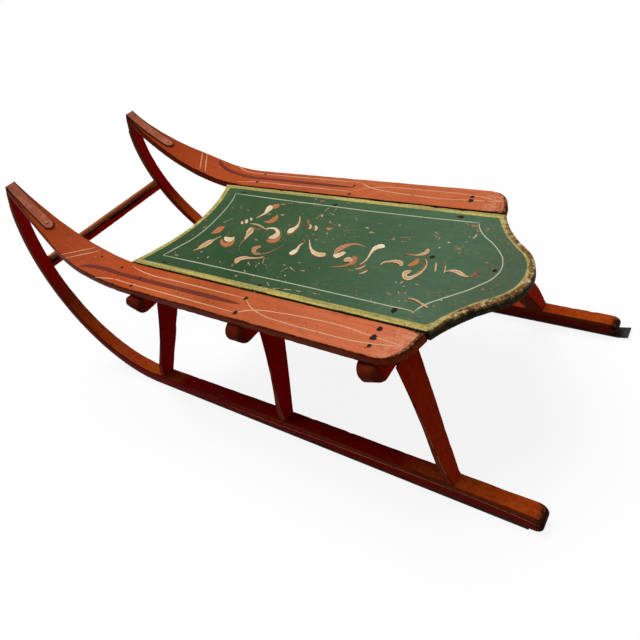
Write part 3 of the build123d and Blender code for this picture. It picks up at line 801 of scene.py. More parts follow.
# Pinstripes
# Lines laid with a striping brush: a little thicker than the paint under them, uneven in width, and worn
# away in places. Each is a low ridge that follows its board, with its ends drawn to a point. Where a stroke
# lies is read from the photograph in pixels, and the camera's rays carry it to the board.
camera_place, camera_view = (-0.6004, 0.5012, 0.6835), (-48.33, -38.42, -16.95)
camera_focus_px, camera_middle_px, frame_px, ray_halvings = 572.7, (374.3, 295.7), 640, 30
turn, tilt, roll = (math.radians(a) for a in camera_view)
ahead = np.array([math.cos(tilt) * math.cos(turn), math.cos(tilt) * math.sin(turn), math.sin(tilt)])
right = np.cross(ahead, (0, 0, 1.0))
right /= np.linalg.norm(right)
up = np.cross(right, ahead)
right, up = (math.cos(roll) * right + math.sin(roll) * up, -math.sin(roll) * right + math.cos(roll) * up)
# the seven points round a stroke: shares of its width across, and heights as shares of its rise
ridge_across = np.array([0, 0.14, 0.5, 0.86, 1, 0.8, 0.2])
ridge_rise, stroke_rise = np.array([-0.1, 1.0, 1.15, 1.0, -0.1, -1.6, -1.6]), 0.16


def deck_level(x):
    return np.full(x.shape, rail_top_z)


def seen_place(seen_px, level):
    """Where the rays through these pixels meet a board, in millimetres. level gives the board's height over
    x. The rays are followed to the middle of a span of heights, which is halved towards the board."""
    aside = (seen_px[:, :1] - camera_middle_px[0]) / camera_focus_px
    below = (seen_px[:, 1:2] - camera_middle_px[1]) / camera_focus_px
    ray = ahead + right * aside - up * below
    low, high = np.full(len(ray), rail_top_z - board_thick), np.full(len(ray), tip_z + board_thick)
    for _ in range(ray_halvings):
        middle = (low + high) / 2
        place = np.array(camera_place) / mm + ray * ((middle - camera_place[2] / mm) / ray[:, 2])[:, None]
        over = middle > level(place[:, 0])
        low, high = np.where(over, low, middle), np.where(over, middle, high)
    return place


def smooth_line(points, gap):
    """Evenly stepped places along a line through the given ones: cubics, whose slope at each given place
    is that of the parabola through it and its neighbours, over the distance along the line."""
    points = np.asarray(points, float)
    run = np.concatenate([[0], np.linalg.norm(np.diff(points[:, :2], axis=0), axis=1).cumsum()])
    slope = np.gradient(points, run, axis=0)
    place = np.linspace(0, run[-1], max(8, int(run[-1] / gap)))
    step = np.clip(np.searchsorted(run, place, side="right") - 1, 0, len(run) - 2)
    size = np.diff(run)[step, None]
    share = (place[:, None] - run[step, None]) / size
    return ((1 + 2 * share) * (1 - share)**2 * points[step] + share * (1 - share)**2 * size * slope[step]
            + share**2 * (3 - 2 * share) * points[step + 1] + share**2 * (share - 1) * size * slope[step + 1])


def seen_stroke(seen_px, level, seed, shake=0.06, sunk=0.0):
    """A low ridge along places in pixels with a width each. Its two edges run half the width to each side,
    rounded off over half the width at both ends, and seven points round each place rise between them."""
    line = smooth_line(seen_px, 0.4)
    way = np.gradient(line[:, :2], axis=0)
    way /= np.maximum(np.linalg.norm(way, axis=1, keepdims=True), 1e-9)
    square = np.stack([-way[:, 1], way[:, 0]], 1)
    run = np.concatenate([[0], np.linalg.norm(np.diff(line[:, :2], axis=0), axis=1).cumsum()])
    solid = np.concatenate([line[:, :2], np.zeros((len(line), 1))], 1)
    half = np.maximum(line[:, 2], 0.3) / 2 * (1 + shake * unevenness(solid, 4.0, seed))
    to_end = np.minimum(np.minimum(run, run[-1] - run) / half, 1)
    half = (half * np.sqrt(np.maximum(1 - (1 - to_end)**2, 0.01)))[:, None]
    low, high = (seen_place(line[:, :2] + square * half * aside, level) for aside in (-1, 1))
    place = low[:, None] + (high - low)[:, None] * ridge_across[None, :, None]
    height = level(place[..., 0]) + (ridge_rise - sunk) * stroke_rise
    return np.stack([place[..., 0], place[..., 1], height], 2)


def ridge_faces(rows, around, first):
    """Quads between neighbouring rings, and a face to close each end."""
    grid = first + np.arange(rows * around).reshape(rows, around)
    turn = np.roll(grid, -1, 1)
    quads = np.stack([grid[:-1], turn[:-1], turn[1:], grid[1:]], -1).reshape(-1, 4)
    return quads.tolist() + [grid[0, ::-1].tolist(), grid[-1].tolist()]


def put_strokes(name, ridges, tones, finish):
    """Joins ridges into one piece. tones holds for each, or once for all, the tone of the head and of the
    tail and what is added along the middle, and near_edge carries them."""
    if isinstance(tones, tuple):
        tones = [tones] * len(ridges)
    points, faces, tone = [], [], []
    first = 0
    for ridge, (head, tail, heart) in zip(ridges, tones):
        rows, around = ridge.shape[:2]
        faces += ridge_faces(rows, around, first)
        first += rows * around
        points.append(ridge.reshape(-1, 3) * mm)
        middle = (np.arange(around) == 2) * heart
        tone.append((np.linspace(head, tail, rows)[:, None] + middle[None]).ravel())
    points = np.concatenate(points)
    put_mesh(name, points, faces, np.concatenate(tone), points, finish)


def stripe_paint(name, under, line_colour, loss):
    """The line's colour over the board's own paint, which shows where the line has worn away."""
    coat = under(name)
    wear, thin = coat.place.mottle(95, 5, 0.7), coat.place.mottle(30, 4, 0.6)
    kept = (wear + thin * 0.6).rise(loss + 0.06, loss - 0.04)
    line = thin.between(tuple(0.72 * part for part in line_colour), line_colour)
    return coat.lay_on(coat.colour.cover(kept * 0.95, line), coat.roughness, coat.relief, far=0.0004)


rail_cream = stripe_paint("rail_stripe_cream", rail_red, (0.86, 0.49, 0.29), loss=0.98)
rail_maroon = stripe_paint("rail_stripe_maroon", rail_red, (0.175, 0.032, 0.020), loss=0.99)
deck_cream = stripe_paint("deck_stripe_cream", deck_green, (0.60, 0.62, 0.42), loss=0.98)
plain_tone = (0.03, 0.03, 0.0)

# each line's width and its places, in pixels
rail_lines_px = {
    "first cross line": (1.0, [(61.4, 254.6), (78, 251.2), (95.4, 247.5)]),
    "second cross line": (1.0, [(64.6, 258.4), (82, 254.6), (100.4, 250.7)]),
    "inner, front": (1.0, [(133, 266), (140, 270.5), (150, 274.5), (180, 282), (220, 292), (245.9, 298.4)]),
    "inner, crossing out": (1.0, [(245.9, 298.4), (249, 305), (262, 315), (285, 323), (320, 332.5),
        (345, 339), (373, 344), (403, 346.5)]),
    "outer, front": (1.0, [(95, 277.5), (104, 278), (112, 278.8), (128, 283.2), (160, 292), (200, 303),
        (235.2, 312.6)]),
    "outer, crossing in": (1.0, [(235.2, 312.6), (243, 311), (258, 310.3), (280, 313), (310, 318.5),
        (340, 325.5), (373, 336.5), (387, 341), (403, 346.5)]),
}
maroon_px = [(80, 266.4, 0.8), (84, 265.9, 2.2), (88, 265.8, 3.0), (96, 266.8, 3.6), (106, 269, 3.8),
             (116, 272.4, 3.8), (138.4, 278.4, 4.0), (180, 289, 4.0), (220, 299, 3.8), (232, 302, 2.6),
             (240, 304, 0.6)]


def stripe_px(wide, places):
    """The stripe's width at each place, drawn in at both ends."""
    last = len(places) - 1
    return [(x, y, wide * (0.5 if end in (0, last) else 1)) for end, (x, y) in enumerate(places)]


near_rail_lines = [seen_stroke(stripe_px(*row), rail_top, seed=200 + n)
                   for n, row in enumerate(rail_lines_px.values())]
near_rail_maroon = [seen_stroke(maroon_px, rail_top, seed=220)]
for hand in both_sides:
    mirror = np.array([1, hand["side"], 1])
    put_strokes("rail_" + hand["name"] + "_cream_stripes", [ridge * mirror for ridge in near_rail_lines],
                plain_tone, rail_cream)
    put_strokes("rail_" + hand["name"] + "_maroon_stripe", [ridge * mirror for ridge in near_rail_maroon],
                plain_tone, rail_maroon)

deck_lines_px = {
    "front": (0.85, [(163, 255.3), (175, 248.8), (183, 244.4), (189.7, 240.8), (199.9, 233.8), (208, 227.2),
        (216, 219.5), (224.9, 210), (230, 203.7), (233.7, 198.2), (235.7, 193.6)]),
    "far": (0.85, [(235.7, 193.6), (254.2, 196), (280, 199.6), (309.3, 203.4), (340.1, 207.4), (368, 211),
        (400, 214.6), (440, 219), (472, 222.2), (479.2, 223)]),
    "rear lobe": (1.2, [(479.2, 223), (479.6, 227.4), (481.6, 232.2), (486.4, 237.8), (492, 242.6),
        (496, 247), (499.2, 251.4), (502.4, 257.5), (502.8, 264), (500.4, 271), (495.2, 276.6),
        (489.6, 280.6), (480, 285), (468, 290.2), (452, 295.4), (436, 300.6), (426.4, 304.2), (417.6, 309),
        (414, 311.8)]),
    "near": (1.0, [(414, 311.8), (404, 309), (392, 306.6), (380, 303.8), (340, 294.6), (300, 285.5),
        (260, 276.6), (227.8, 269.4), (208, 265), (186, 260.2), (163, 255.3)]),
}
put_strokes("deck_pinstripe", [seen_stroke(stripe_px(*row), deck_level, seed=240 + n)
                               for n, row in enumerate(deck_lines_px.values())], plain_tone, deck_cream)

# Deck scrolls
# Loose brushwork of the coach painter's common kind, commas, leaves and buds in cream, salmon, orange and
# brown. Each stroke is pressed wide at its head and lifted to a thin tail.
coat = deck_green("scroll_paint")
bristle, chip = coat.place.mottle(130, 4, 0.6), coat.place.mottle(75, 5, 0.7)
tone = coat.near_edge + (bristle - 0.5) * 0.32 + (coat.drift - 0.5) * 0.2
brush = tone.ramp((0.04, (0.90, 0.78, 0.54)), (0.26, (0.70, 0.46, 0.25)), (0.46, (0.47, 0.21, 0.10)),
                  (0.66, (0.50, 0.16, 0.050)), (0.78, (0.33, 0.185, 0.085)), (0.90, (0.15, 0.060, 0.032)),
                  (1.00, (0.012, 0.008, 0.006)))
kept = (chip + coat.fine * 0.3).rise(0.86, 0.76)
scroll_paint = coat.lay_on(coat.colour.cover(kept * 0.95, brush), coat.roughness + 0.05,
                           coat.relief + bristle * 0.6, depth=0.4, far=0.0005)

# tone of the head and of the tail, from cream at 0 by brown to soot at 1, and what the middle adds
scroll_tones = {"cream": (0.03, 0.22, 0.08), "blush": (0.20, 0.16, 0.26), "tan": (0.26, 0.28, 0.14),
                "salmon": (0.40, 0.46, 0.08), "orange": (0.56, 0.66, 0.04), "dust": (0.78, 0.78, 0.0),
                "brown": (0.82, 0.88, 0.0), "soot": (1.20, 1.20, 0.0)}
# each stroke's colour, and its places as a column, a row and a width in pixels
scrolls = [
    ("blush", [(193, 250.7, 0.6), (197.5, 249, 1.3), (201.5, 246.6, 3.6), (206, 244.2, 5),
        (210.5, 241.6, 3.6), (214, 239.9, 1.4), (218, 237.8, 0.9), (221.3, 235.9, 0.6)]),
    ("orange", [(211.5, 233.6, 0.8), (214.5, 232.2, 3.4), (218.5, 230.2, 5.8), (222, 228, 4),
        (224.8, 226.6, 1.4)]),
    ("brown", [(229.6, 231.4, 0.8), (228.4, 233.6, 1.2), (227.4, 236, 1.6)]),
    ("orange", [(221.6, 239, 1.6), (221.8, 242.4, 4), (225, 244.7, 5), (230, 243.9, 4.4),
        (233.5, 241.3, 2.4), (234.8, 239.4, 1)]),
    ("cream", [(224.6, 237, 3), (226.6, 239, 4.8), (230, 239.6, 5), (233, 238.5, 3), (234.6, 237, 1.6)]),
    ("blush", [(253.6, 228.6, 3), (251.5, 230, 6), (249, 232.6, 5.8), (247, 236, 3.4),
        (244.5, 239.5, 1.8)]),
    ("brown", [(244.6, 239.4, 1.6), (241.2, 243.2, 1.3), (239.5, 247, 1), (239.4, 251.5, 0.6)]),
    ("tan", [(250.5, 223.5, 0.9), (255.7, 224.3, 1.5), (260, 225.7, 1.7), (264.4, 228.4, 1.4),
        (268.4, 230.2, 0.6)]),
    ("brown", [(252.7, 226.8, 0.7), (257.9, 229.4, 1.5), (263, 229.4, 1.2)]),
    ("brown", [(277, 228.2, 0.8), (281, 231.8, 1.4), (281.4, 236, 1.4), (279, 239.6, 1)]),
    ("orange", [(280.2, 235.6, 1.6), (279.2, 238.2, 2.8), (276.2, 240.4, 3.6), (272, 241.3, 3.8),
        (268.2, 240.9, 3), (266.3, 240, 1.6)]),
    ("cream", [(266.5, 228.4, 0.8), (270.5, 228.2, 1.3), (274.5, 228.6, 2.4), (277.4, 230.8, 4.2),
        (277.8, 233.8, 5), (274.8, 236.4, 4.6), (271, 237.6, 3.4), (268.4, 238.4, 1.8)]),
    ("cream", [(242, 224.4, 1.8), (242.1, 222.8, 2.7), (242.4, 221, 1.8)]),
    ("cream", [(245.8, 223.4, 2), (246.5, 221.4, 3.6), (247.4, 219.2, 2)]),
    ("cream", [(250.9, 220.6, 1.8), (251.3, 219.1, 2.8), (251.7, 217.6, 1.8)]),
    ("orange", [(272.2, 206.6, 3), (275, 206.6, 4.8), (277.6, 206, 4.2), (279.4, 204.8, 1.6)]),
    ("cream", [(273, 206.6, 3), (270.2, 208, 5.4), (267.8, 210, 4.6), (265.6, 212.8, 2.6), (262, 215, 1.5),
        (258.5, 217, 0.9), (255.8, 218.2, 0.5)]),
    ("orange", [(263.8, 221.4, 0.8), (267.5, 222, 2.6), (271.5, 221.2, 4.2), (275, 219, 4.8),
        (277.2, 216.6, 3.2), (277.6, 214.8, 1.2)]),
    ("salmon", [(261.2, 246.4, 1.8), (257.5, 247.4, 3.2), (254.3, 249.4, 4.8), (253.6, 251.8, 4.4),
        (256.5, 253.5, 2.8), (261, 253.8, 1.4)]),
    ("brown", [(260, 253.9, 1.4), (267, 253.1, 1.1), (274, 250.1, 0.9), (283, 245.2, 0.6)]),
    ("tan", [(235.4, 263.4, 2.6), (236.4, 261.2, 4.6), (239.8, 258.9, 4.2), (245, 257.7, 3),
        (251.5, 258, 1.9), (258, 258, 1.2), (264, 256.8, 0.7)]),
    ("brown", [(234, 263.6, 1.6), (232.2, 265.6, 2.4), (231.4, 267.4, 1.2)]),
    ("brown", [(287, 233.6, 1.8), (289.8, 234.6, 2.6), (293, 232.8, 2), (297.4, 229, 1.4),
        (301.2, 223.8, 1), (302.2, 219.6, 0.6)]),
    ("cream", [(287.4, 232.6, 2.4), (290, 231.2, 4.8), (293, 229.6, 4.2), (296, 227.6, 3),
        (298.6, 223.8, 2), (299.8, 219.8, 1.2), (300.1, 216.2, 0.6)]),
    ("brown", [(307.3, 219.5, 1.6), (308.6, 222, 3), (308, 226, 3), (307.6, 229.5, 1.6)]),
    ("brown", [(312.2, 226.8, 1.6), (313.6, 228.2, 2.8), (313.4, 230.4, 1.4)]),
    ("cream", [(309.6, 224, 1.4), (310.8, 226.4, 2.2), (309.6, 229.2, 1.4)]),
    ("cream", [(315, 225.8, 1.6), (316.6, 228.2, 2.6), (314.6, 230.8, 1.6)]),
    ("cream", [(289.2, 253.4, 2.6), (292, 253, 4), (295, 251.4, 4.4), (297.6, 248.8, 3.2),
        (299.4, 245.8, 1.8), (301.4, 244.2, 1.4), (303.4, 243, 0.8)]),
    ("brown", [(303.4, 239, 1.2), (304.6, 241, 2.2), (303.8, 243, 1)]),
    ("cream", [(309.6, 239.5, 0.6), (309.8, 243.5, 1.2), (310.6, 248, 2.4), (312.6, 251.6, 4.2),
        (316, 253.9, 5), (320.4, 254.8, 4.8), (324, 254.5, 4), (326, 253.8, 2.6)]),
    ("salmon", [(334, 254, 2), (337, 250.8, 4.4), (341, 248.2, 5), (345.5, 246.2, 3.8), (350, 244.8, 2.6),
        (356, 244, 1.8), (361, 245.2, 1.2), (366, 247.4, 0.6)]),
    ("cream", [(333.2, 255.2, 3), (336.2, 256, 4.4), (340, 254.8, 4.6), (343.6, 253.2, 3.6),
        (345.9, 253, 1.6)]),
    ("brown", [(352, 256, 0.8), (356.8, 257.6, 1.6), (357.4, 260.8, 1.6), (354.4, 264, 1.2),
        (348, 266.6, 0.8)]),
    ("orange", [(352.2, 256.8, 2), (355, 259, 4.2), (353, 262, 4.6), (349.5, 264.2, 2.8), (345, 265.6, 1.6),
        (338, 266.6, 1.1), (330.8, 266.9, 0.6)]),
    ("blush", [(343.4, 260.6, 2.4), (346, 260, 3.8), (349.4, 259.4, 4.4), (351.4, 260.8, 3.4),
        (349.8, 263, 1.6)]),
    ("cream", [(385.2, 246.6, 2.8), (382, 246.2, 4.2), (378, 247, 4.6), (374, 249, 3.8),
        (371.4, 252.2, 2.6), (368.4, 257, 1.8), (365.4, 260.8, 1.3), (361.6, 263.6, 0.9),
        (359.4, 264.6, 0.5)]),
    ("brown", [(356.5, 267.5, 1), (360.5, 265.6, 1.8), (364, 263.6, 0.8)]),
    ("blush", [(355.6, 268.9, 0.9), (359.5, 268.4, 1.5), (363, 266.8, 1.4), (365.8, 264.9, 0.7)]),
    ("brown", [(359.5, 271.6, 0.9), (363, 270.4, 1.4), (366, 269.4, 0.7)]),
    ("blush", [(358.8, 273.6, 0.9), (362.5, 272.9, 1.5), (366, 271.2, 1.3), (368, 270, 0.7)]),
    ("blush", [(400.2, 266.2, 2.8), (401.2, 263.6, 4.6), (398.4, 261.8, 4), (393.5, 261.2, 2.5),
        (388.5, 261.5, 1.6), (384, 262.3, 1.2), (380.2, 264.8, 0.7)]),
    ("orange", [(407.8, 265.4, 2.2), (411, 264.8, 3.4), (415, 263, 5.2), (417.6, 260.6, 5.4),
        (418.4, 258.4, 3)]),
    ("brown", [(416, 256.4, 1.4), (412.4, 254.4, 1.2), (406.5, 254.4, 1.2), (402.5, 256.6, 1.3),
        (399.8, 258.6, 0.7)]),
    ("tan", [(429.4, 249.2, 3), (427.4, 251.4, 4.4), (424.5, 253.5, 3.4), (420, 254.8, 2.2),
        (415, 255.2, 1.3), (409, 254.4, 0.8)]),
    ("brown", [(412.8, 275, 1), (418, 272.6, 1.4), (422.4, 268.6, 1.6), (424.6, 264, 1.5),
        (423.8, 260.4, 0.9), (422.6, 258.6, 0.6)]),
    ("blush", [(411.6, 270.8, 1.4), (408.4, 271.8, 3.4), (404.8, 273.8, 4.8), (404.8, 277, 4.8),
        (409, 278.2, 4), (413.6, 276.6, 2.8), (418.6, 274.2, 2.2), (423.4, 270, 1.9), (426.4, 265.4, 1.7),
        (426.6, 261.6, 1.2), (425, 259, 0.7)]),
    ("tan", [(436.3, 262.6, 1.6), (436, 266, 2.1), (435.4, 270, 1.7), (435, 271.8, 1)]),
    ("tan", [(445.8, 265.6, 0.8), (445.2, 269, 1.5), (444.6, 271.6, 1.7), (444.2, 273.2, 1)]),
    ("blush", [(444.6, 271.8, 0.8), (449, 270.7, 1.4), (453, 271, 2.8), (457.5, 272, 4.4),
        (461.5, 274, 4.2), (465, 275.8, 2.2), (469, 276.6, 1)]),
    ("brown", [(468.6, 276.8, 1), (472.4, 275.6, 3), (476.2, 273.8, 4.2), (479.4, 271.8, 2.4),
        (480.6, 270.6, 1)]),
    ("salmon", [(472.4, 275.4, 1), (475.4, 274.2, 2), (478.2, 272.6, 0.9)]),
    ("tan", [(408.2, 298.8, 0.9), (412.6, 299, 1.7), (417, 300.8, 1.9), (421.4, 303.6, 2),
        (425.6, 306, 2.8), (428, 307.6, 1.4)]),
]
# a painted shadow in brown lies along the lower left of the wider pale strokes
shadow_aside, shadow_tone, widest_plain_px = (-0.5, 0.5, 0.4), (0.90, 0.92, 0.0), 2.5
shadowed = [places for colour, places in scrolls
          if colour in ("cream", "blush", "tan") and max(wide for *_, wide in places) > widest_plain_px]
put_strokes("deck_scroll_shadows",
            [seen_stroke(np.add(places, shadow_aside), deck_level, 360 + n, shake=0.3, sunk=0.45)
             for n, places in enumerate(shadowed)], shadow_tone, scroll_paint)
put_strokes("deck_scrolls", [seen_stroke(places, deck_level, 260 + n)
                             for n, (colour, places) in enumerate(scrolls)],
            [scroll_tones[colour] for colour, places in scrolls], scroll_paint)

# Worn places on the deck
# Scuffs and scratches where the green came off down to the undercoat, most beside the far line, along the
# middle and round the lobe, and soot round the nails. Each is a low ridge, as the scrolls are.
# column, row, length and width in pixels, turn in degrees down the picture, colour
scuffs = [
    (205, 226.6, 5, 1.4, -25, "brown"), (228, 220.6, 10, 0.7, -22, "tan"),
    (241.6, 207.4, 4, 1.8, 60, "brown"), (248.4, 210, 3.4, 1.6, 40, "brown"),
    (232, 208, 3.6, 1.4, -20, "dust"), (206.4, 220, 2, 1.2, 30, "dust"), (176.8, 255, 4, 2, 25, "dust"),
    (201.4, 252, 2, 0.9, -10, "tan"), (198, 258, 1.6, 1.2, 0, "cream"), (208, 257, 1.8, 1.2, -30, "cream"),
    (263.6, 260, 7, 0.9, -65, "tan"), (257.4, 264.6, 6.4, 0.8, -40, "tan"),
    (249, 263.8, 4.4, 1.1, 60, "tan"), (256.4, 239.6, 4, 1.8, 10, "dust"),
    (253, 238, 4.6, 0.7, 20, "brown"), (269.8, 214, 3.4, 1.6, 15, "brown"), (281, 204.3, 9, 0.8, -2, "tan"),
    (290.6, 203.8, 6, 1.2, 2, "dust"), (302.6, 203, 8.4, 1.7, 4, "dust"),
    (316.4, 204.2, 6.4, 1.8, 6, "dust"), (322.4, 200.9, 4.4, 1.4, -12, "orange"),
    (315.9, 199.3, 1.5, 1, 0, "cream"), (348.6, 203.1, 3.2, 1.8, -8, "dust"),
    (337, 207.2, 2.4, 1.2, -20, "cream"), (335, 210, 5.2, 1.2, -55, "dust"),
    (282.6, 214.8, 4.2, 0.8, -8, "tan"), (322.3, 215.4, 3, 1.8, -30, "tan"),
    (327, 209.4, 6, 0.7, -38, "tan"), (319, 216.4, 9, 0.6, -40, "tan"),
    (330.6, 213.2, 2.4, 1.4, 10, "dust"), (333.2, 214.4, 2, 1, 20, "tan"), (329.9, 221.8, 2, 1.8, 0, "tan"),
    (334.6, 224.7, 3.2, 1.4, -10, "dust"), (339.4, 225, 2.4, 1.6, 0, "tan"),
    (329.6, 228.8, 6, 3.2, 4, "orange"), (329.2, 229.4, 2.6, 1.4, 10, "tan"),
    (326.8, 233.4, 2.4, 1.4, 60, "tan"), (333.2, 239, 1.6, 1.4, 0, "dust"),
    (346.4, 230.5, 6.2, 1.1, 4, "dust"), (356.4, 219.4, 4.2, 0.7, 84, "tan"),
    (367.3, 228, 3.2, 1.1, 0, "cream"), (372.2, 232.4, 6, 1.8, 6, "dust"),
    (371.6, 232.2, 3, 0.9, 6, "cream"), (380.3, 223.5, 4, 1.1, 0, "dust"), (289.4, 225.4, 2.8, 1, 0, "tan"),
    (315.9, 239.3, 3.2, 1.4, -10, "dust"), (314, 234.6, 5, 1.5, 6, "brown"),
    (308, 236.4, 6, 0.9, 30, "brown"), (299.4, 262.8, 4, 1.7, 6, "dust"),
    (302.2, 270.6, 5.4, 1.5, 14, "tan"), (291.8, 268.8, 6.4, 1, 46, "tan"),
    (294, 271, 2.4, 1.3, 20, "dust"), (285.1, 275.6, 1.8, 1.4, 0, "cream"),
    (284.4, 264.8, 2.8, 1, 20, "tan"), (284, 269.8, 8, 0.6, -28, "tan"), (319.4, 268.3, 2, 0.8, 80, "tan"),
    (351, 270.2, 5, 0.7, 8, "tan"), (281, 246.6, 4, 1, -20, "dust"), (400, 225.2, 2.6, 1.8, -30, "dust"),
    (392.8, 239, 4.4, 2, -35, "dust"), (406.2, 237.4, 13, 0.8, 0, "dust"), (403.6, 241.4, 6, 0.6, 0, "tan"),
    (409.6, 239.4, 1.6, 1, 0, "tan"), (436.4, 234.4, 5, 0.8, -35, "tan"),
    (437.2, 236.6, 5, 0.9, -35, "tan"), (436, 232.2, 2.2, 1, 0, "tan"), (439, 238.4, 3, 0.8, -60, "tan"),
    (449.2, 242.4, 2.4, 1, 0, "cream"), (439.6, 247.4, 2, 1, 0, "cream"), (467, 224, 4, 2, 20, "dust"),
    (475.2, 225.8, 7, 3.6, 15, "dust"), (478, 230.6, 4.4, 1.8, 62, "dust"),
    (475, 236.2, 6, 1.4, -48, "tan"), (469.8, 237, 2.2, 1.4, 50, "tan"), (466.2, 242, 2.6, 1.2, -10, "tan"),
    (488, 228.6, 4.6, 2.8, 0, "dust"), (493.6, 229.2, 5, 1, 4, "brown"), (458, 248.6, 6.4, 4.4, 4, "dust"),
    (459.2, 253, 2.2, 3, 0, "dust"), (462.4, 246.6, 2, 1.4, 20, "dust"), (486.4, 262.6, 3.8, 2, 0, "dust"),
    (401.6, 282.4, 4.4, 2, -24, "tan"), (396, 282.3, 1.8, 1.8, 0, "tan"), (404, 286.2, 1.8, 1, 0, "tan"),
    (417, 284.4, 3.6, 0.9, 20, "tan"), (422, 288, 7, 0.7, 32, "brown"), (434, 292, 16, 0.6, 6, "brown"),
    (389.4, 293.8, 6, 2, 26, "dust"), (398.8, 292.6, 3, 1.3, 80, "tan"), (405.6, 293, 2.2, 1.5, -10, "tan"),
    (406, 300.8, 4.4, 2, 16, "dust"), (398.8, 300.6, 1.4, 1.6, 0, "tan"),
    (452.8, 295.8, 4.2, 1.3, 0, "dust"), (441.6, 300.2, 2, 1, 0, "cream"),
    (433.6, 305.8, 4, 1.7, -30, "dust"), (455.6, 304.6, 4.2, 1, 0, "brown"),
    (491.2, 290.6, 5.4, 2.2, 70, "brown"), (483.2, 289, 2, 3, 0, "brown"), (409.6, 309.8, 5, 2, 30, "dust"),
    (394, 310.2, 7, 3.8, -20, "soot"), (432.2, 257, 6, 3.2, -10, "soot"), (460.6, 217, 8, 2.2, 4, "soot"),
    (335.6, 204.6, 5, 2.4, 10, "soot"), (494.8, 270.8, 5, 1.8, 10, "soot"),
    (244.2, 192.4, 4.6, 1.8, 4, "soot"), (164.2, 262.2, 5, 2, 20, "soot"),
    (260, 285.4, 4.4, 1.8, 10, "soot"), (413, 312.4, 2.6, 1.7, 50, "tan"),
    (370.6, 299.8, 5, 1.2, -70, "dust"), (375.4, 303.6, 3, 1.4, 20, "dust"),
    (254.8, 292.2, 2, 2, 0, "brown"), (262.4, 287, 6, 0.9, 24, "dust"), (276, 288.4, 7, 1.1, 4, "tan"),
    (287, 289.4, 8, 1, 6, "tan"), (298, 291, 6, 0.9, 10, "tan"), (315, 293.4, 4, 0.8, 16, "tan"),
    (268, 284, 5, 0.9, 60, "tan"), (236, 275.6, 2.4, 1.2, 0, "tan"), (254, 276.6, 3, 1, 70, "tan"),
    (245, 271, 2.4, 1.2, 40, "tan"), (220, 262, 2, 0.9, 60, "tan"),
]
ridges = []
reach = np.linspace(-0.5, 0.5, 5)
for number, (column, row, long, wide, turn, colour) in enumerate(scuffs):
    way = np.array([math.cos(math.radians(turn)), math.sin(math.radians(turn))])
    ragged = unevenness(np.stack([reach * 9, reach * 0 + number, reach * 0], 1), 4.0, 300 + number)
    aside = way[::-1] * (-1, 1) * ragged[:, None] * wide * 0.25
    seen_px = np.array([column, row]) + way * reach[:, None] * long + aside
    ridges.append(seen_stroke(np.column_stack([seen_px, wide * (0.75 + 0.35 * ragged)]), deck_level,
                              seed=330 + number, shake=0.35, sunk=0.7))
put_strokes("deck_worn_places", ridges, [scroll_tones[row[-1]] for row in scuffs], scroll_paint)

# Runner and leg lines
# One thin cream line along the outer side of each runner, and one down the outer rear arris of the middle
# and rear legs.
# everywhere=1.0 gives the line the painted light wherever it faces up
runner_cream = red_wood("runner_stripe", deep=(0.50, 0.20, 0.12), bright=(0.66, 0.34, 0.20),
                        rubbed=(0.30, 0.12, 0.06), edge_wear=0.0, upper=(0.66, 0.36, 0.22), everywhere=1.0)
# x, z and width in millimetres
side_line = smooth_line([(-464.0, 14.0, 0.6), (-449.0, 16.6, 1.3), (-405.0, 19.6, 1.4), (-357.0, 20.6, 1.4),
                         (-268.0, 19.8, 1.3), (-202.0, 18.8, 1.2), (-130.0, 17.2, 1.1), (-49.0, 13.8, 0.9),
                         (60.0, 12.6, 0.5)], 3.0)


def thin_ridge(line, across, out, width):
    """Seven points round each place of a line in space: across and out are its two directions there."""
    aside, rise = (ridge_across - 0.5)[:, None], ridge_rise[:, None] * stroke_rise
    return line[:, None] + across[:, None] * aside * width[:, None, None] + out[:, None] * rise


far_from_edge = (0.01, 0.01, 0.0)
arris_ease, line_margin, leg_line_wide = 0.5, 6, (0.6, 1.1)
for hand in both_sides:
    y = runner_outer_y + (tip_outer_y - runner_outer_y) * lean_share(side_line[:, 1])
    place = np.stack([side_line[:, 0], hand["side"] * y, side_line[:, 1]], 1)
    across, out = (np.broadcast_to(way, place.shape) for way in ((0.0, 0, 1), (0.0, hand["side"], 0)))
    put_strokes("runner_" + hand["name"] + "_line", [thin_ridge(place, across, out, side_line[:, 2])],
                far_from_edge, runner_cream)
    for knee in knees[1:]:
        rake = full_rake * knee["rake"]
        whole = (under_boards_z - runner_top_z) / math.cos(rake)
        depth = np.linspace(bolster_deep + line_margin, whole - line_margin, 60)
        y = hand["side"] * (leg_outer(depth, whole) - arris_ease)
        place = knee_point(knee["x"], rake, arris_ease - knee_thick / 2, y, depth)
        out = np.array([-math.cos(rake), hand["side"], math.sin(rake)]) / math.sqrt(2)
        out = np.broadcast_to(out, place.shape)
        across = np.cross(np.gradient(place, axis=0), out)
        across /= np.linalg.norm(across, axis=1, keepdims=True)
        width = np.interp(depth, (bolster_deep, whole), leg_line_wide)
        put_strokes("leg_" + knee["name"] + "_" + hand["name"] + "_line",
                    [thin_ridge(place, across, out, width)], far_from_edge, runner_cream)

# Nails and rivets
# Cut nails through the boards into the bolsters, their heads sunk and rusted black; a rivet in each strap
# with a dark ring round it.
coat = Coat("nail_black", roughness=0.7, shine=0.05)
rust = coat.place.mottle(600, 4, 0.7)
nail_black = coat.lay_on(rust.ramp((0.40, (0.006, 0.005, 0.004)), (0.64, (0.028, 0.013, 0.009))),
                         0.45 + rust * 0.3, rust, depth=0.6, far=0.0004)


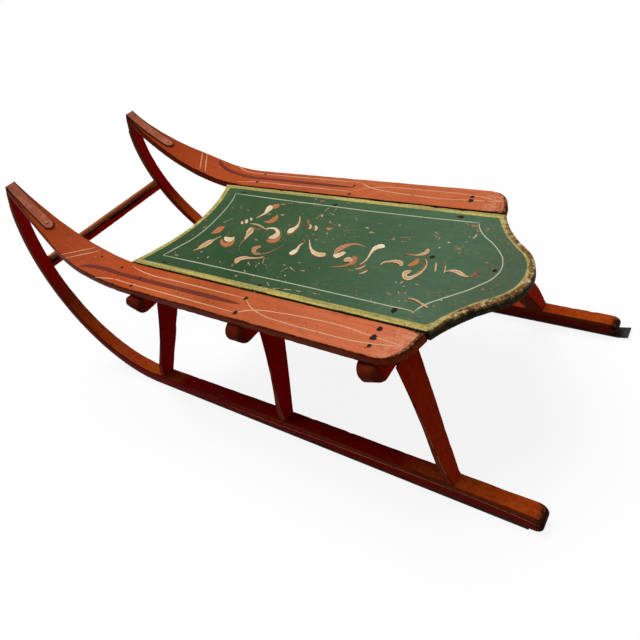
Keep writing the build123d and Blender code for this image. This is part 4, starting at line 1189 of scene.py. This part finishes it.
def nail_head(x, y, z, radius, proud, lean=0.0):
    """A domed head: rings of a quarter ellipse, wide at the foot and closed over, uneven all round."""
    foot_deep, foot_share = 1.2, 0.9
    turn = np.linspace(0, 2 * np.pi, 15)[:-1]
    share = np.array([0.0, 0.35, 0.7, 0.92])[:, None]
    dents = 1 + 0.08 * np.sin(3 * turn + x) + 0.05 * np.sin(5 * turn + y)
    out = radius * np.sqrt(1 - share**2) * dents[None]
    rise = proud * share + 0 * turn[None]
    foot = np.stack([out[0] * foot_share, rise[0] - foot_deep], 0)
    out, rise = np.concatenate([foot[:1], out]), np.concatenate([foot[1:], rise])
    dx, dy = out * np.cos(turn), out * np.sin(turn)
    return np.stack([x + dx * math.cos(lean) - rise * math.sin(lean), y + dy,
                     z + dx * math.sin(lean) + rise * math.cos(lean)], 2)


# column, row and radius in pixels
deck_nails_px = [(164.4, 262.2, 2.0), (244, 192.3, 1.8), (260, 285.2, 2.2), (335.8, 204.8, 2.2),
                 (394.3, 310, 3.0), (432.3, 256.9, 2.4), (460.9, 216.9, 2.6), (494.9, 270.7, 2.2)]
rail_nails_px = [(131.2, 285.6, 2.5), (140.2, 278.4, 2.9), (235.2, 312.6, 2.9), (245.9, 298.4, 2.6),
                 (369.2, 345.7, 2.2), (373.5, 337.4, 3.5), (379.8, 328.9, 2.9), (257.3, 181.8, 2.7),
                 (265.4, 174.2, 2.2), (349.1, 194.1, 2.3), (354.2, 185.7, 2.0), (470.9, 200.6, 3.4),
                 (472.4, 196.7, 2.7), (121.6, 267.2, 2.1), (101.6, 256.4, 1.6), (112, 283.6, 1.7)]
mm_per_px, head_proud = 1.36, 0.3


def seen_heads(nails_px, level):
    """A nail head at each pixel. All take one scale, a mean over the boards."""
    nails_px = np.array(nails_px)
    return [nail_head(*place, radius * mm_per_px, head_proud)
            for place, radius in zip(seen_place(nails_px, level).tolist(), nails_px[:, 2])]


put_strokes("deck_nail_heads", seen_heads(deck_nails_px, deck_level), far_from_edge, nail_black)
rivet_from_end, rivet_inward = 9.0, 0.6
rivet_x = strap_rear_x + rivet_from_end
rivet_turn = math.asin((rivet_x - rail_bend_x) / rail_top_radius)
rivet_z = rail_bend_centre[1] - (rail_top_radius - strap_thick) * math.cos(rivet_turn)
for hand in both_sides:
    heads = [head for head in seen_heads(rail_nails_px, rail_top) if head[..., 1].mean() * hand["side"] > 0]
    put_strokes("rail_" + hand["name"] + "_nail_heads", heads, far_from_edge, nail_black)
    for ring, radius, proud, finish in (("rivet", 3.6, 1.9, strap_pink),
                                        ("rivet_dirt", 5.6, 0.7, nail_black)):
        rivet_y = hand["side"] * (strap_rear_y - rivet_inward)
        head = nail_head(rivet_x, rivet_y, rivet_z, radius, proud, rivet_turn)
        put_strokes("strap_" + hand["name"] + "_" + ring, [head], (0.004, 0.004, 0.0), finish)

# Floor, light and camera
# A plain pale floor that keeps the sled's shadow, a large soft lamp overhead and a camera where the
# photograph was taken from, as solved from the sled's own corners.
floor_half, floor_seen_share, sky_share = 40, 0.88, 0.20


def seen_by_camera(tree):
    """1 for rays that show a picture, by way of a mirror or glass too, and 0 for those that only light."""
    rays = tree.nodes.new("ShaderNodeLightPath")
    straight, mirrored, through = (Paint(tree, rays.outputs["Is " + kind + " Ray"])
                                   for kind in ("Camera", "Glossy", "Transmission"))
    return straight | mirrored | through


floor_mesh = bpy.data.meshes.new("studio_floor")
floor_mesh.from_pydata([(x * floor_half, y * floor_half, 0) for x, y in ((-1, -1), (1, -1), (1, 1), (-1, 1))],
                       [], [(0, 1, 2, 3)])
floor = new_object("studio_floor", floor_mesh)
coat = Coat("floor_pale", roughness=1.0, shine=0.0)
seen = seen_by_camera(coat.tree)
floor.data.materials.append(coat.lay_on(seen.between((0.22, 0.22, 0.22), (0.97, 0.97, 0.97))))
glow = seen.to("Emission", {}, {"Color": (1.0, 1.0, 1.0), "Strength": 1.0})
painted = Paint(coat.tree, coat.shader.outputs[0])
pale = seen.to("MixShader", {}, {0: seen * floor_seen_share, 1: painted, 2: glow})
coat.tree.links.new(pale.out, coat.tree.nodes["Material Output"].inputs["Surface"])

world = bpy.data.worlds.new("studio_world")
bpy.context.scene.world = world
world.use_nodes = True
backdrop = world.node_tree.nodes["Background"]
backdrop.inputs["Color"].default_value = (1, 1, 1, 1)
strength = seen_by_camera(world.node_tree) * (1.0 - sky_share) + sky_share
world.node_tree.links.new(strength.out, backdrop.inputs["Strength"])

lamp = bpy.data.lights.new("soft_sun", "SUN")
lamp.energy, lamp.angle = 2.75, math.radians(38)
holder = new_object("soft_sun", lamp)
holder.location = (0, 0, 2)
holder.rotation_euler = (math.radians(24), 0, math.radians(62))

camera_data = bpy.data.cameras.new("camera")
camera_data.sensor_width = 36.0
camera_data.lens = camera_focus_px / frame_px * camera_data.sensor_width
camera_data.shift_x = (frame_px / 2 - camera_middle_px[0]) / frame_px
camera_data.shift_y = (camera_middle_px[1] - frame_px / 2) / frame_px
camera = new_object("camera", camera_data)
placing = np.eye(4)
placing[:3, 0], placing[:3, 1], placing[:3, 2], placing[:3, 3] = right, up, -ahead, camera_place
camera.matrix_world = Matrix(placing.tolist())
bpy.context.scene.camera = camera
bpy.context.scene.view_settings.view_transform = "Standard"
